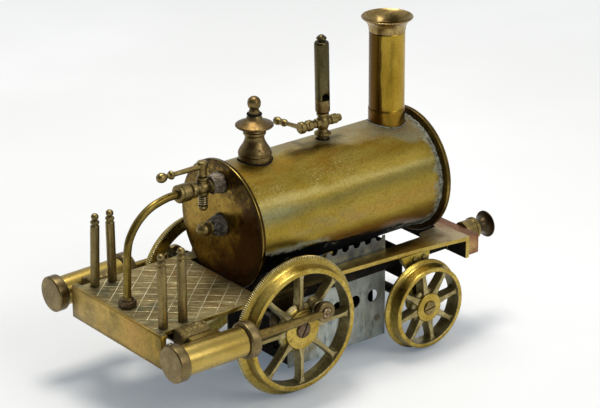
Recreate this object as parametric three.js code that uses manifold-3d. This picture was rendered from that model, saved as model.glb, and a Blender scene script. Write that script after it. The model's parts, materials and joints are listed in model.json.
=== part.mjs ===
// Brass model steam locomotive with two oscillating cylinders.
// Millimetres. +X runs to the chimney end, +Y to the left side, +Z up.
// The pieces are laid out with x = 0 at the driving axle, y = 0 on the centre plane and z = 0 on
// the ground. The last step moves the engine back by CENTRE_X, so that the origin lies below the
// middle of the overall length.
// "left" pieces sit at +Y and "right" pieces at -Y.
import * as THREE from "three";
import { mergeVertices } from "three/addons/utils/BufferGeometryUtils.js";
import Module from "manifold-3d";

const wasm = await Module();
wasm.setup();

// ---------------------------------------------------------- shared dimensions
// Names end in _X, _Y or _Z for places, _R for radii and _T for thicknesses.
const CENTRE_X = 26.43; // from the driving axle to the middle of the overall length
const DECK_TOP = 51.63; // top of the footplate and side rails
const BOILER_Z = 78.05; // boiler axis height
const BOILER_R = 28.59;
const BOILER_X = [-12.1, 100.0];
const FITTING_SEAT_X = -14.45; // front end of the fittings on the boiler's rear plate
const STOPCOCK_Z = 99.7;
const PIPE_BASE_X = -69; // foot of the steam pipe

const AXLE_R = 2.4;
const AXLE_BORE_R = 2.46;
const CRANK_THROW = 12.53;
const RIGHT_CRANK_DEG = 40.25; // above the forward horizontal
const CRANK_DEG = { left: RIGHT_CRANK_DEG + 90, right: RIGHT_CRANK_DEG };
const PIVOT = { x: -57, z: 43.5 }; // trunnion axis of the cylinders
const PIVOT_BORE_R = 1.72;

// Wheels stand on their flanges, so flangeR is also the axle height. The y values are for the
// left wheel. hub and boss are disc arguments: radius, from y, to y, segments.
const DRIVE = {
  x: 0, flangeR: 34.79, flangeBackR: 34.4, flangeEdge: 0.5, flangeRootR: 31.3,
  treadR: 30.66, innerR: 28.0, backY: 36.6, outY: 44.58, segments: 36,
  spoke: { fromR: 6, toR: 28.4, hubWidth: 3.6, rimWidth: 2.4, y: [38.8, 43.2], startDeg: 0 },
  hub: [9.8, 38.0, 43.9, 20],
  boss: [4.6, 34.0, 38.2, 14],
};
const FRONT = {
  x: 78.81, flangeR: 23.01, flangeBackR: 22.7, flangeEdge: 0.4, flangeRootR: 21.5,
  treadR: 20.93, innerR: 18.6, backY: 37.0, outY: 45.18, segments: 28,
  spoke: { fromR: 5, toR: 19.0, hubWidth: 5.0, rimWidth: 2.8, y: [39.0, 43.8], startDeg: 10 },
  hub: [7.4, 38.6, 44.5, 18],
  boss: [4.4, 36.4, 38.9, 14],
};

// ------------------------------------------------------------------ materials
const finish = (settings) => new THREE.MeshStandardMaterial(settings);
const BRASS = finish({ color: 0x9a7d33, roughness: 0.36, metalness: 1.0 });
const BRIGHT_BRASS = finish({ color: 0xb3923f, roughness: 0.3, metalness: 1.0 });
const BRONZE = finish({ color: 0x6f5c3a, roughness: 0.42, metalness: 1.0 });
const CASTING = finish({ color: 0x847a57, roughness: 0.6, metalness: 0.8 });
const COPPERED = finish({ color: 0x8a5f45, roughness: 0.45, metalness: 0.9 });
const SHEET = finish({ color: 0x8f9290, roughness: 0.55, metalness: 0.7 });
const SOOT = finish({ color: 0x1c1a17, roughness: 0.9, metalness: 0.1 });
const STEEL = finish({ color: 0x5a5048, roughness: 0.45, metalness: 0.9 });

// -------------------------------------------------------------------- helpers
const radians = (degrees) => (degrees * Math.PI) / 180;

// A closed three.js geometry as a solid, turned to face outwards.
function solid(geometry) {
  const loose = geometry.index ? geometry.toNonIndexed() : geometry;
  loose.deleteAttribute("normal");
  loose.deleteAttribute("uv");
  const merged = mergeVertices(loose, 1e-4);
  const index = merged.index.array;
  const triangles = [];
  for (let i = 0; i < index.length; i += 3) {
    const [first, second, third] = index.slice(i, i + 3);
    if (first !== second && second !== third && first !== third) {
      triangles.push(first, second, third);
    }
  }
  const build = () =>
    new wasm.Manifold(
      new wasm.Mesh({
        numProp: 3,
        vertProperties: new Float32Array(merged.attributes.position.array),
        triVerts: new Uint32Array(triangles),
      }),
    );
  const made = build();
  if (made.volume() >= 0) return made;
  flipWinding(triangles);
  return build();
}

function flipWinding(index) {
  for (let i = 0; i < index.length; i += 3) {
    [index[i + 1], index[i + 2]] = [index[i + 2], index[i + 1]];
  }
}

// The solid as a three.js geometry, reflected in the centre plane if mirrored.
function geometryOf(manifold, mirrored) {
  const mesh = manifold.getMesh();
  const positions = new Float32Array(mesh.numVert * 3);
  for (let i = 0; i < mesh.numVert; i++) {
    const start = i * mesh.numProp;
    positions.set(mesh.vertProperties.subarray(start, start + 3), i * 3);
  }
  const index = new Uint32Array(mesh.triVerts);
  const geometry = new THREE.BufferGeometry();
  geometry.setAttribute("position", new THREE.BufferAttribute(positions, 3));
  geometry.setIndex(new THREE.BufferAttribute(index, 1));
  if (mirrored) {
    geometry.scale(1, -1, 1);
    flipWinding(index);
  }
  geometry.computeVertexNormals();
  return geometry;
}

// Profiles list [radius, distance along the axis]. They start and end on the axis, or close on
// themselves for a ring.
const lathe = (profile, segments) =>
  new THREE.LatheGeometry(profile.map(([r, along]) => new THREE.Vector2(r, along)), segments);

function turn(axis, profile, segments, at = [0, 0, 0]) {
  const geometry = lathe(profile, segments);
  if (axis === "z") geometry.rotateX(Math.PI / 2);
  if (axis === "x") geometry.rotateZ(-Math.PI / 2);
  geometry.translate(...at);
  return solid(geometry);
}
function ring(axis, outer, inner, from, to, segments, at) {
  const profile = [[inner, from], [outer, from], [outer, to], [inner, to], [inner, from]];
  return turn(axis, profile, segments, at);
}
const disc = (axis, radius, from, to, segments, at) =>
  turn(axis, [[0, from], [radius, from], [radius, to], [0, to]], segments, at);

// A box from its [low, high] span along each axis.
function block(x, y, z) {
  const geometry = new THREE.BoxGeometry(x[1] - x[0], y[1] - y[0], z[1] - z[0]);
  geometry.translate((x[0] + x[1]) / 2, (y[0] + y[1]) / 2, (z[0] + z[1]) / 2);
  return solid(geometry);
}

function shapeOf(points) {
  const shape = new THREE.Shape();
  points.forEach(([x, y], i) => (i ? shape.lineTo(x, y) : shape.moveTo(x, y)));
  shape.closePath();
  return shape;
}
function extrude(points, depth, holes = []) {
  const shape = shapeOf(points);
  shape.holes.push(...holes.map(shapeOf));
  return new THREE.ExtrudeGeometry(shape, { depth, bevelEnabled: false });
}
// A plate drawn in x, y and thickened along z.
function plateXY(points, holes, from, to) {
  const geometry = extrude(points, to - from, holes);
  geometry.translate(0, 0, from);
  return solid(geometry);
}
// A plate drawn in x, z and thickened along y, then raised by an angle from +X towards +Z.
function plateXZ(points, holes, from, to, raiseDeg = 0) {
  const geometry = extrude(points, to - from, holes);
  geometry.rotateX(Math.PI / 2); // (x, y, z) -> (x, -z, y)
  geometry.translate(0, to, 0);
  geometry.rotateY(-radians(raiseDeg));
  return solid(geometry);
}
// A bar drawn in y, z and lengthened along x.
function barYZ(points, from, to) {
  const geometry = extrude(points, to - from);
  geometry.applyMatrix4(
    new THREE.Matrix4().set(0, 0, 1, from, 1, 0, 0, 0, 0, 1, 0, 0, 0, 0, 0, 1),
  );
  return solid(geometry);
}

const polar = (centreX, centreY, radius, angle) => [
  centreX + radius * Math.cos(angle),
  centreY + radius * Math.sin(angle),
];
const circle = (centreX, centreY, radius, count) =>
  Array.from({ length: count }, (_, i) =>
    polar(centreX, centreY, radius, (2 * Math.PI * i) / count),
  );
const arc = (centreX, centreY, radius, fromDeg, toDeg, steps) =>
  Array.from({ length: steps + 1 }, (_, i) =>
    polar(centreX, centreY, radius, radians(fromDeg + ((toDeg - fromDeg) * i) / steps)),
  );

// ------------------------------------------------------------------- assembly
const loco = new THREE.Group();
loco.name = "model_steam_locomotive";

function addPiece(parent, name, manifold, material, mirrored = false) {
  const mesh = new THREE.Mesh(geometryOf(manifold, mirrored), material);
  mesh.name = name;
  parent.add(mesh);
  return mesh;
}
// A piece drawn on the left side, and its mirror image on the right.
function addPair(name, manifold, material) {
  addPiece(loco, name + "_left", manifold, material);
  addPiece(loco, name + "_right", manifold, material, true);
}
function addGroup(parent, x, y, z) {
  const group = new THREE.Group();
  group.position.set(x, y, z);
  parent.add(group);
  return group;
}

// -------------------------------------------------------------- frame casting
// Footplate with side rails that spread towards the front, a recess at each side for the port
// blocks, a rear beam, a downturned front flange and two webs along the opening.
function addFrame() {
  const deckBottom = DECK_TOP - 2.1;
  const rearX = -76.1;
  const rearBeam = { half: 36.5, thickness: 3, bottom: 35.2 };
  const flange = { x: [106.3, 108.6], half: 40, bottom: 40.1 };
  const opening = { x: [-15, 89.5], half: 25 }; // under the boiler
  const saddle = { x: 103.8, half: 20 }; // narrower recess at the boiler's front ring
  const web = { thickness: 1.6, bottom: 41.1 };
  const pipeHoleR = 2.3;

  // Left edge of the footplate, rear to front: [x, y].
  const leftEdge = [
    [rearX, rearBeam.half], [-72.6, rearBeam.half], [-72.6, 33.2], [0, 32.6], [32, 32.4],
    [50, 33.8], [70, 35.3], [79, 36.2], [100, 39], [105, 40], [flange.x[1], flange.half],
  ];
  // Right half of the opening, rear to front: [x, y].
  const openingEdge = [
    [opening.x[0], -opening.half], [opening.x[1], -opening.half],
    [opening.x[1] + 2.5, -saddle.half - 1.2], [saddle.x, -saddle.half],
  ];
  const closeAcross = (edge) => [...edge, ...edge.map(([x, y]) => [x, -y]).reverse()];

  const holes = [closeAcross(openingEdge), circle(PIPE_BASE_X, 0, pipeHoleR, 12)];
  let frame = plateXY(closeAcross(leftEdge), holes, deckBottom, DECK_TOP)
    .add(
      block(
        [rearX, rearX + rearBeam.thickness],
        [-rearBeam.half, rearBeam.half],
        [rearBeam.bottom, DECK_TOP],
      ),
    )
    .add(block(flange.x, [-flange.half, flange.half], [flange.bottom, DECK_TOP]));
  const webX = [opening.x[0] - web.thickness, flange.x[0] + 0.2];
  const webOuter = opening.half + web.thickness;
  for (const webY of [[-webOuter, -opening.half], [opening.half, webOuter]]) {
    frame = frame.add(block(webX, webY, [web.bottom, deckBottom + 0.4]));
  }
  addPiece(loco, "frame", frame, CASTING);
}

function addBufferBeam() {
  const half = 39.5;
  addPiece(loco, "buffer_beam", block([108.75, 115.4], [-half, half], [40.9, 50.9]), COPPERED);
}

// --------------------------------------------------------------------- boiler
function addBoiler() {
  const at = [0, 0, BOILER_Z];
  const wall = 1.0;
  const spigotR = 27.3; // the part of each end plate inside the barrel
  const rearR = 32.09;
  const frontR = 32.42;
  const rimEdge = 0.5;
  const rearProfile = [
    [0, -14.3], [rearR - rimEdge, -14.3], [rearR, -13.8], [rearR, -12.2],
    [spigotR, -12.2], [spigotR, -9.2], [0, -9.2],
  ];
  const frontProfile = [
    [0, 97], [spigotR, 97], [spigotR, 100.1], [frontR, 100.1],
    [frontR, 102.2], [frontR - rimEdge, 102.7], [0, 102.7],
  ];
  const barrel = ring("x", BOILER_R, BOILER_R - wall, ...BOILER_X, 40, at);
  addPiece(loco, "boiler_barrel", barrel, BRASS);
  addPiece(loco, "boiler_rear_plate", turn("x", rearProfile, 40, at), BRONZE);
  addPiece(loco, "boiler_front_plate", turn("x", frontProfile, 40, at), BRASS);
}

// A little larger than the barrel; it shapes the feet of the fittings on top.
const barrelCut = disc(
  "x", BOILER_R + 0.3, BOILER_X[0] - 5, BOILER_X[1] + 5, 64, [0, 0, BOILER_Z],
);

// -------------------------------------------------------------------- chimney
function addChimney() {
  const at = [88.0, 0, 0];
  const tubeR = 8.86;
  const footR = tubeR + 0.22;
  const boreR = 7.9;
  const footZ = 104.5;
  const capZ = 152.9;
  const tubeTop = capZ - 0.15;
  const tubeProfile = [
    [boreR, footZ], [footR, footZ], [footR, 113.6], [tubeR, 113.8],
    [tubeR, tubeTop], [boreR, tubeTop], [boreR, footZ],
  ];
  // Up the flared outside to the lip, then down the inside.
  const capProfile = [
    [boreR, capZ], [9.08, capZ], [9.15, 155.0], [9.7, 156.6], [10.9, 158.3], [12.6, 159.6],
    [12.77, 160.0], [12.5, 160.2], [11.4, 159.3], [9.6, 157.6], [8.4, 155.8], [boreR, 154.4],
    [boreR, capZ],
  ];
  addPiece(loco, "chimney_tube", turn("z", tubeProfile, 24, at).subtract(barrelCut), BRASS);
  addPiece(loco, "chimney_cap", turn("z", capProfile, 24, at), BRONZE);
}

// --------------------------------------------------------------- safety valve
function addSafetyValve() {
  const at = [6.25, 0, 0];
  // Outside from the foot up, then down the socket for the top's stem.
  const bodyProfile = [
    [0, 104.4], [7.6, 104.4], [8.0, 107.2], [7.95, 108.7], [8.15, 109.5], [7.6, 111.4],
    [6.2, 113.6], [4.95, 115.9], [4.6, 117.5], [4.95, 118.6], [5.5, 119.3], [5.5, 120.4],
    [2.15, 120.4], [2.15, 109.0], [0, 109.0],
  ];
  // Stem, wide disc, neck and rounded knob.
  const topProfile = [
    [0, 111.2], [1.85, 111.2], [1.85, 120.6], [5.5, 120.6], [5.7, 122.2], [8.9, 122.8],
    [9.2, 123.35], [8.8, 124.0], [6.4, 125.1], [4.7, 126.0], [3.75, 126.6], [3.75, 127.6],
    [3.2, 128.4], [2.6, 129.4], [2.6, 130.9], [1.9, 131.4], [3.0, 132.9], [3.3, 134.4],
    [2.95, 136.1], [1.6, 137.3], [0, 137.7],
  ];
  const body = turn("z", bodyProfile, 16, at).subtract(barrelCut);
  addPiece(loco, "safety_valve_body", body, BRONZE);
  addPiece(loco, "safety_valve_top", turn("z", topProfile, 16, at), BRONZE);
}

// -------------------------------------------------------------------- whistle
const WHISTLE_X = 47.56;
const WHISTLE_COCK_Z = 115.0;
const WHISTLE_TUBE_Z = 120.4; // foot of the whistle tube
const WHISTLE_LEAN_DEG = 1.0; // towards the rear

function addWhistleCock() {
  const cockAt = [WHISTLE_X, 0, WHISTLE_COCK_Z];
  const bodyProfile = [
    [0, 105.4], [2.8, 105.4], [2.8, 108.6], [4.2, 108.8], [4.2, 109.8], [2.5, 110.8],
    [2.4, 111.6], [3.1, 113.2], [3.25, 114.8], [3.1, 116.4], [2.4, 117.6], [2.4, 118.3],
    [3.0, 118.7], [3.0, 119.8], [2.2, 120.1], [0, 120.1],
  ];
  const body = turn("z", bodyProfile, 12, [WHISTLE_X, 0, 0])
    .add(disc("x", 2.3, -4.6, 3.9, 12, cockAt)) // barrel around the plug
    .subtract(barrelCut)
    .subtract(disc("x", 1.45, -9, 9, 16, cockAt)); // plug bore
  addPiece(loco, "whistle_cock_body", body, BRONZE);

  // Plug along x with a knob at each end, and an arm that points left and slightly down.
  const plugProfile = [
    [0, -14.4], [2.5, -14.4], [2.95, -13.9], [2.95, -11.9], [2.2, -11.2], [2.2, -10.0],
    [2.7, -9.5], [2.7, -7.4], [2.0, -6.8], [2.0, -4.9], [1.36, -4.9], [1.36, 4.2], [1.7, 4.2],
    [2.45, 4.9], [2.45, 8.4], [1.5, 8.8], [1.5, 9.4], [1.9, 9.8], [1.7, 10.9], [0, 11.0],
  ];
  const armProfile = [
    [0, 0], [1.35, 0], [1.05, 12.0], [1.85, 12.9], [1.85, 14.6], [1.1, 15.7], [1.1, 16.5],
    [1.9, 17.4], [2.15, 18.9], [1.9, 20.4], [0, 21.05],
  ];
  const armDroopDeg = 5.5;
  const armOffset = 13.0; // behind the cock's centre
  const arm = lathe(armProfile, 10);
  arm.rotateX(radians(-armDroopDeg));
  arm.translate(WHISTLE_X - armOffset, 0, WHISTLE_COCK_Z);
  addPiece(loco, "whistle_lever", turn("x", plugProfile, 16, cockAt).add(solid(arm)), BRONZE);
}

// Tube and finial, drawn upright in place and leaned about the tube's foot.
function addWhistleTube() {
  const at = [WHISTLE_X, 0, 0];
  const stem = addGroup(loco, WHISTLE_X, 0, WHISTLE_TUBE_Z);
  stem.rotation.y = radians(-WHISTLE_LEAN_DEG);
  const tubeProfile = [
    [0, WHISTLE_TUBE_Z], [3.4, WHISTLE_TUBE_Z], [3.6, 120.8], [3.6, 155.2], [3.2, 156.0],
    [0, 156.0],
  ];
  const finialProfile = [
    [0, 156.15], [1.5, 156.15], [1.45, 156.8], [2.5, 157.2], [2.6, 157.6], [1.9, 158.4],
    [0.9, 159.2], [0, 159.4],
  ];
  // Wedge cut for the mouth on the right side: [y, z].
  const mouthOutline = [[-5, 126.7], [-1.0, 126.7], [-3.7, 132.0], [-5, 132.0]];
  const mouthHalf = 2.4;
  const tube = turn("z", tubeProfile, 16, at)
    .subtract(disc("z", 2.7, 127.2, 153.5, 12, at))
    .subtract(barYZ(mouthOutline, WHISTLE_X - mouthHalf, WHISTLE_X + mouthHalf));
  const pieces = { whistle_tube: tube, whistle_finial: turn("z", finialProfile, 12, at) };
  for (const [name, piece] of Object.entries(pieces)) {
    addPiece(stem, name, piece, BRONZE).position.set(-WHISTLE_X, 0, -WHISTLE_TUBE_Z);
  }
}

// ------------------------------------------------- fittings on the rear plate
function addStopcock() {
  const at = [-24.5, 0, 0];
  const axisAt = [0, 0, STOPCOCK_Z];
  const armZ = 110.2;
  const bodyProfile = [
    [0, -32.0], [3.4, -32.0], [3.9, -31.4], [3.9, -29.2], [2.7, -28.6], [2.7, -27.4],
    [3.4, -26.2], [3.6, -24.5], [3.4, -22.8], [2.7, -21.6], [2.7, -20.4], [3.9, -19.8],
    [4.2, -18.0], [4.0, -16.8], [4.6, -16.0], [4.6, FITTING_SEAT_X], [0, FITTING_SEAT_X],
  ];
  const body = turn("x", bodyProfile, 12, axisAt)
    .add(disc("z", 2.9, 96.2, 105.0, 12, at)) // barrel around the plug
    .subtract(disc("z", 1.5, 90, 110, 16, at)); // plug bore
  addPiece(loco, "stopcock_body", body, BRONZE);
  addPiece(loco, "union_nut", ring("x", 4.35, 2.15, -39.4, -32.2, 12, axisAt), BRONZE);

  // Upright plug, and an arm that points to the rear.
  const plugProfile = [
    [0, 88.0], [1.0, 88.2], [2.0, 89.3], [2.3, 90.4], [1.4, 90.5], [1.4, 105.3], [2.2, 105.4],
    [2.3, 109.4], [2.6, 111.0], [2.5, 112.4], [1.9, 112.8], [0, 112.8],
  ];
  const armProfile = [
    [0, 0], [1.5, 0], [1.2, 7], [1.15, 15.6], [2.2, 16.4], [2.3, 17.5], [1.9, 18.6],
    [1.1, 19.4], [1.1, 20.5], [2.0, 21.3], [2.6, 23.1], [2.0, 24.9], [0, 25.7],
  ];
  const arm = lathe(armProfile, 12);
  arm.rotateZ(Math.PI / 2);
  arm.translate(at[0], 0, armZ);
  addPiece(loco, "stopcock_lever", turn("z", plugProfile, 16, at).add(solid(arm)), BRONZE);
  addPiece(loco, "stopcock_spring", ring("z", 2.35, 1.75, 90.8, 95.9, 12, at), STEEL);
}

function addLevelPlug() {
  const profile = [
    [0, -28.1], [1.6, -27.7], [3.0, -26.5], [3.6, -24.5], [3.2, -22.9], [2.5, -22.0],
    [3.4, -21.6], [3.4, -18.6], [3.9, -18.0], [4.5, -16.8], [4.6, FITTING_SEAT_X],
    [0, FITTING_SEAT_X],
  ];
  addPiece(loco, "level_plug", turn("x", profile, 12, [0, 0, 78.1]), BRONZE);
}

// ----------------------------------------------------------------- steam pipe
function addSteamPipe() {
  const pipeR = 1.9;
  const baseAt = [PIPE_BASE_X, 0, 0];
  // Centre line from the footplate up and forward to the stopcock: [x, z].
  const centreLine = [
    [PIPE_BASE_X, 51.9], [-68.8, 60], [-68.4, 69.9], [-67.9, 79.0], [-66.2, 85.3],
    [-61.5, 92.0], [-54.6, 96.9], [-46.1, 99.3], [-40.5, STOPCOCK_Z], [-36.5, STOPCOCK_Z],
  ];
  const pipe = new THREE.ExtrudeGeometry(shapeOf(circle(0, 0, pipeR, 10)), {
    steps: 26,
    extrudePath: new THREE.CatmullRomCurve3(
      centreLine.map(([x, z]) => new THREE.Vector3(x, 0, z)),
    ),
    bevelEnabled: false,
  });
  addPiece(loco, "steam_pipe", solid(pipe), BRASS);
  addPiece(loco, "pipe_base_nut", ring("z", 4.3, 2.25, DECK_TOP + 0.1, 55.1, 6, baseAt), STEEL);

  // Block under the footplate, with a stub up to the pipe and a tube across to the port blocks.
  const manifold = block([-71.6, -61.6], [-4, 4], [41.8, 49.3])
    .add(disc("z", 2.0, 49.0, 51.3, 12, baseAt))
    .add(disc("y", pipeR, -33.2, 33.2, 12, [-64.4, 0, 45.4]));
  addPiece(loco, "steam_manifold", manifold, BRASS);
}

// ---------------------------------------------------------------------- posts
function addPosts() {
  const profile = [
    [0, 0.12], [2.2, 0.12], [2.2, 30.6], [1.65, 31.0], [1.65, 31.5], [2.2, 31.9], [2.1, 33.0],
    [1.2, 33.5], [1.7, 34.1], [1.9, 35.0], [1.5, 36.2], [0, 36.7],
  ];
  // Name, x, y, forward lean in degrees, and lift that keeps a leaning foot off the footplate.
  const posts = [
    ["right_rear", -69.6, -29.3, 0, 0],
    ["right_front", -58.4, -29.0, 0, 0],
    ["left_front", -58.4, 28.1, 0, 0],
    ["left_rear", -68.1, 28.4, 2.6, 0.12],
  ];
  for (const [name, x, y, leanDeg, lift] of posts) {
    const mesh = addPiece(loco, "post_" + name, turn("z", profile, 10), BRONZE);
    mesh.position.set(x, y, DECK_TOP + lift);
    mesh.rotation.y = radians(leanDeg);
  }
}

// --------------------------------------------- port blocks beside the footplate
function addPortBlocks() {
  // Section of the left block: [y, z].
  const section = [
    [33.6, 36.0], [41.6, 36.0], [41.6, 49.4], [40.9, 51.0], [39.4, 52.2], [37.2, 52.8],
    [34.6, 52.6], [33.6, 51.9],
  ];
  const bore = disc("y", PIVOT_BORE_R, 30, 45, 12, [PIVOT.x, 0, PIVOT.z]);
  addPair("port_block", barYZ(section, -67.2, -51.4).subtract(bore), CASTING);
}

// ----------------------------------------------------------------- hornblocks
// Outlines run [x, z] from the rear top corner, round below the axle, to the front top corner.
function addHornblocks() {
  const axleHole = (wheel) => circle(wheel.x, wheel.flangeR, AXLE_BORE_R, 20);
  const driveOutline = [
    [-11, 49.3], [-8.6, 46.4], [-6.6, 43.0], [-6.0, 39.6],
    ...arc(DRIVE.x, DRIVE.flangeR, 7.2, 142, 398, 12),
    [6.0, 39.6], [6.6, 43.0], [8.6, 46.4], [11, 49.3],
  ];
  const frontOutline = [
    [67.6, 49.4], [69.4, 46.0], [72.6, 41.6], [74.6, 36.0], [75.0, 30.0],
    ...arc(FRONT.x, FRONT.flangeR, 5.6, 135, 405, 12),
    [82.6, 30.0], [83.0, 36.0], [84.4, 42.6], [85.6, 46.0], [86, 49.4],
  ];
  addPair("drive_hornblock", plateXZ(driveOutline, [axleHole(DRIVE)], 27.0, 33.3), CASTING);
  addPair("front_hornblock", plateXZ(frontOutline, [axleHole(FRONT)], 32.6, 35.9), BRASS);
  addPiece(loco, "front_stretcher", block([76.6, 78.2], [-24.6, 24.6], [32.6, 48.6]), SOOT);
}

// -------------------------------------------------------------------- firebox
// Side sheets with a scalloped top edge and a row of round air holes, and a rear sheet.
function addFirebox() {
  const rear = 6;
  const front = 67;
  const bottom = 5.2;
  const top = 58.6;
  const scallop = { pitch: 7.06, low: 56.2 };
  const hole = { count: 3, frontX: 59, pitch: 11.2, z: 28.1, radius: 3.25 };

  const outline = [[rear, bottom], [front, bottom], [front, top]];
  for (let x = front - 0.4; x - scallop.pitch > rear - 0.5; x -= scallop.pitch) {
    outline.push(
      [x - 1.3, top], [x - 2.3, scallop.low + 0.4], [x - 3.5, scallop.low],
      [x - 4.8, scallop.low + 0.4], [x - 5.8, top],
    );
  }
  outline.push([rear, top]);
  const holes = Array.from({ length: hole.count }, (_, i) =>
    circle(hole.frontX - i * hole.pitch, hole.z, hole.radius, 14),
  );
  addPair("firebox_side", plateXZ(outline, holes, 23.8, 24.6), SHEET);
  addPiece(loco, "firebox_rear", block([6.3, 7.1], [-23.4, 23.4], [6.4, 48.6]), SOOT);
}

// Tray with a flat tank and three wick tubes.
function addBurner() {
  const tray = block([9, 66], [-23.3, 23.3], [5.3, 6.2]);
  const tank = block([14, 60], [-15, 15], [6.0, 16]);
  let burner = tray.add(tank);
  for (const x of [22, 37, 52]) burner = burner.add(disc("z", 3.2, 15.5, 27, 10, [x, 0, 0]));
  addPiece(loco, "spirit_burner", burner, STEEL);
}

// -------------------------------------------------------------------- buffers
function addBuffers() {
  const at = [0, 26.5, 47.6];
  const stockProfile = [
    [0, 115.55], [5.0, 115.55], [5.0, 122.0], [5.6, 122.2], [5.6, 123.9], [3.35, 123.9],
    [3.35, 117.6], [0, 117.6],
  ];
  const headProfile = [
    [0, 121.0], [3.15, 121.0], [3.15, 127.0], [3.6, 128.9], [4.8, 130.4], [6.6, 131.4],
    [6.9, 131.9], [6.4, 132.4], [0, 132.9],
  ];
  addPair("buffer_stock", turn("x", stockProfile, 12, at), BRONZE);
  addPair("buffer_head", turn("x", headProfile, 12, at), BRONZE);
}

// ------------------------------------------------------------------ wheelsets
// A left wheel about its own axle, with eight tapered spokes.
function wheel({ spoke, ...size }) {
  const { innerR, treadR, flangeR, backY, outY, flangeEdge } = size;
  const rimBevel = 0.3;
  const rimProfile = [
    [innerR, backY], [size.flangeBackR, backY], [flangeR, backY + flangeEdge],
    [flangeR, backY + flangeEdge + 0.8], [size.flangeRootR, backY + flangeEdge + 1.8],
    [treadR, outY - rimBevel], [treadR - rimBevel, outY], [innerR, outY], [innerR, backY],
  ];
  const spokeOutline = [
    [spoke.fromR, -spoke.hubWidth / 2], [spoke.toR, -spoke.rimWidth / 2],
    [spoke.toR, spoke.rimWidth / 2], [spoke.fromR, spoke.hubWidth / 2],
  ];
  let made = turn("y", rimProfile, size.segments);
  for (let k = 0; k < 8; k++) {
    made = made.add(plateXZ(spokeOutline, [], ...spoke.y, 45 * k + spoke.startDeg));
  }
  return made
    .add(disc("y", ...size.hub))
    .add(disc("y", ...size.boss))
    .subtract(disc("y", AXLE_BORE_R, 30, 50, 20));
}

// Crank pin centre relative to the driving axle: [x, y, z].
function crankOffset(side) {
  const angle = radians(CRANK_DEG[side]);
  return [CRANK_THROW * Math.cos(angle), 0, CRANK_THROW * Math.sin(angle)];
}

function addWheelsets() {
  const pinProfile = [[0, 44.2], [3.0, 44.2], [2.7, 46.4], [0, 46.4]];
  const drive = addGroup(loco, DRIVE.x, 0, DRIVE.flangeR);
  addPiece(drive, "drive_axle", disc("y", AXLE_R, -42.6, 42.6, 20), STEEL);
  const front = addGroup(loco, FRONT.x, 0, FRONT.flangeR);
  addPiece(front, "front_axle", disc("y", AXLE_R, -43.2, 43.2, 20), STEEL);
  for (const side of ["left", "right"]) {
    const mirrored = side === "right";
    const crankAt = crankOffset(side);
    const driveWheel = wheel(DRIVE).add(disc("y", 4.0, 38.8, 44.1, 12, crankAt)); // crank boss
    addPiece(drive, "drive_wheel_" + side, driveWheel, BRIGHT_BRASS, mirrored);
    addPiece(drive, "crank_pin_" + side, turn("y", pinProfile, 14, crankAt), STEEL, mirrored);
    addPiece(front, "front_wheel_" + side, wheel(FRONT), BRIGHT_BRASS, mirrored);
  }
}

// ------------------------------------------------------ oscillating cylinders
// Each cylinder is drawn about its trunnion with its axis along +x, then turned so that its rod
// meets the crank pin.
function addCylinder(side) {
  const at = [0, 49.2, 0]; // cylinder centre line
  const rodLength = 57.4; // piston centre to crank pin
  const rodBoreR = 2.32;
  const [crankX, , crankZ] = crankOffset(side);
  const acrossX = DRIVE.x + crankX - PIVOT.x;
  const acrossZ = DRIVE.flangeR + crankZ - PIVOT.z;
  const reach = Math.hypot(acrossX, acrossZ); // trunnion to crank pin
  const pistonX = reach - rodLength;
  const pinAt = [reach, 0, 0];

  const portFace = block([-8, 8], [41.9, 45.2], [-6.4, 6.4]);
  const barrel = ring("x", 7.2, 5.7, -17.0, 16.5, 20, at)
    .add(portFace.subtract(disc("x", 7.0, -20, 20, 20, at)))
    .subtract(disc("y", PIVOT_BORE_R, 40, 43.15, 12));
  const rearCapProfile = [
    [0, -22.9], [8.2, -22.9], [8.83, -22.3], [8.83, -17.9], [8.2, -17.15], [0, -17.15],
  ];
  const frontCapProfile = [
    [rodBoreR, 16.65], [8.2, 16.65], [8.83, 17.4], [8.83, 21.6], [7.9, 22.6], [4.2, 22.8],
    [3.4, 23.6], [rodBoreR, 23.6], [rodBoreR, 16.65],
  ];
  const trunnionProfile = [
    [0, 28.0], [2.9, 28.0], [2.9, 29.6], [1.6, 29.6], [1.6, 43.05], [0, 43.05],
  ];
  // Piston, then the rod tapering towards its eye.
  const rodProfile = [
    [0, pistonX - 3.0], [5.5, pistonX - 3.0], [5.5, pistonX + 3.0], [2.2, pistonX + 3.0],
    [2.2, reach - 22], [1.75, reach - 5.2], [1.75, reach - 3.4], [0, reach - 3.4],
  ];
  const screwProfile = [
    [0, 47.2], [1.6, 47.2], [1.6, 49.75], [2.4, 49.75], [2.3, 50.3], [0, 50.45],
  ];
  const rod = turn("x", rodProfile, 16, at)
    .add(disc("y", 5.1, 47.0, 49.6, 18, pinAt)) // eye
    .subtract(disc("y", 1.8, 46, 52, 14, pinAt));

  const group = addGroup(loco, PIVOT.x, 0, PIVOT.z);
  group.rotation.y = -Math.atan2(acrossZ, acrossX);
  const pieces = [
    ["cylinder_barrel", barrel, BRASS],
    ["cylinder_rear_cap", turn("x", rearCapProfile, 20, at), BRONZE],
    ["cylinder_front_cap", turn("x", frontCapProfile, 20, at), BRONZE],
    ["trunnion", turn("y", trunnionProfile, 12), STEEL],
    ["piston_rod", rod, BRASS],
    ["crank_screw", turn("y", screwProfile, 14, pinAt), STEEL],
  ];
  for (const [name, piece, material] of pieces) {
    addPiece(group, `${name}_${side}`, piece, material, side === "right");
  }
}

addFrame();
addBufferBeam();
addBoiler();
addChimney();
addSafetyValve();
addWhistleCock();
addWhistleTube();
addStopcock();
addLevelPlug();
addSteamPipe();
addPosts();
addPortBlocks();
addHornblocks();
addFirebox();
addBurner();
addBuffers();
addWheelsets();
addCylinder("left");
addCylinder("right");

const engine = new THREE.Group();
loco.position.x = -CENTRE_X;
engine.add(loco);

export default engine;
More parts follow.
